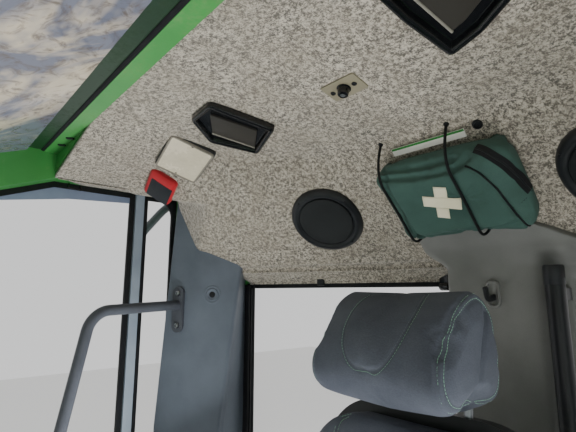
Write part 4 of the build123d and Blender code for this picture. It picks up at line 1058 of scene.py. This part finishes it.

# Cross bar: a black seal; a bead beside it whose pale green is a painted highlight; and a thin dark green strip under
# the bar that is painted shade for its shaded flank
bar_line = np.stack([np.linspace(-734, 734, 8), np.full(8, 171.0), np.full(8, 1839.5)], -1)
surface("cross_bar_seal", [carried(bar_line - [0, 9, 0], circle(3.0, 12, 2.8), upward)], rubber)
surface("cross_bar_painted_shade", stepped(oblong(1466, 28), [(0, 0), (0, 0.6)], (0, 139, 1840), right_way, (0, 0, -1), 1),
        painted_shade_green, sharp=20)
# Bead in pale green: a painted highlight line along the bar
surface("cross_bar_highlight_bead", [carried(bar_line + [0, 10.5, 0.3], circle(1.6, 10, 1.5), upward)], painted_highlight_green)

# Rear corners: black edge strips beside the pillar trim, and the tube's cap
strips = []
for side in (-1, 1):
    for x, y, wide in ((651, 706, 21), (628, 712.5, 5)):
        line = np.array([(side * x, y, z) for z in (902, 1100, 1300, 1526)], float)
        strips.append(carried(line, rounded(oblong(wide, 7), 2.2, 3), (0, 1, 0)))
surface("rear_corner_seals", strips, rubber)
surface("rear_tube_cap", [turned([(15.3, -30), (16, -29), (16, -1), (15, 1.5), (11, 2.2), (0.01, 2.4)],
                                 (147, 745, 1545), upward, 30)], charcoal)

# ---- floor, light and background


def pale_floor():
    """Wide plain floor a hair under the feet."""
    mesh = bpy.data.meshes.new("pale_floor")
    half = 9
    mesh.from_pydata([(-half, -half, -0.001), (half, -half, -0.001), (half, half, -0.001), (-half, half, -0.001)],
                     [], [(0, 1, 2, 3)])
    floor = bpy.data.objects.new("pale_floor", mesh)
    bpy.context.scene.collection.objects.link(floor)
    material, tree, shader, where = start("pale_floor")
    shader.inputs["Base Color"].default_value = linear("#e4e3e0")
    shader.inputs["Roughness"].default_value = 0.8
    seen = add(tree, "ShaderNodeLightPath").outputs["Is Camera Ray"]
    shader.inputs["Emission Color"].default_value = (1, 1, 1, 1)
    tree.links.new(ramp(tree, seen, 0, 1, 0.0, 0.3), shader.inputs["Emission Strength"])
    mesh.materials.append(material)


def plain_world(strength):
    """Even pale light, and white where the camera or a reflection sees past the object."""
    world = bpy.data.worlds.new("plain_world")
    world.use_nodes = True
    bpy.context.scene.world = world
    tree = world.node_tree
    back = tree.nodes["Background"]
    rays = add(tree, "ShaderNodeLightPath")
    seen = add(tree, "ShaderNodeMath", {"operation": "MAXIMUM"}, i0=rays.outputs["Is Camera Ray"],
               i1=rays.outputs["Is Glossy Ray"])
    seen = add(tree, "ShaderNodeMath", {"operation": "MAXIMUM"}, i0=seen.outputs[0],
               i1=rays.outputs["Is Transmission Ray"])
    back.inputs["Color"].default_value = (1, 1, 1, 1)
    tree.links.new(ramp(tree, seen.outputs[0], 0, 1, strength, 1.0), back.inputs["Strength"])


pale_floor()
plain_world(0.6)
lamp("front_lamp", (0.9, -3.2, 2.6), (0, 0, 1.2), 2.2, 30)
lamp("right_lamp", (-3.4, 0.3, 2.2), (0, 0.1, 1.3), 2.0, 42)
lamp("rear_lamp", (0.6, 3.4, 2.4), (0, 0.2, 1.3), 2.0, 40)
lamp("left_lamp", (3.4, -0.4, 1.9), (0, 0.1, 1.4), 2.0, 42)
lamp("inner_lamp", (0.5, -0.3, 0.85), (0.0, 0.65, 1.2), 0.5, 4.2)
lamp("low_lamp", (-0.4, 0.4, 0.95), (-0.25, -0.25, 1.6), 0.3, 7.5)
lamp("side_lamp", (0.4, 0.4, 0.95), (0.35, -0.25, 1.6), 0.3, 4.5)
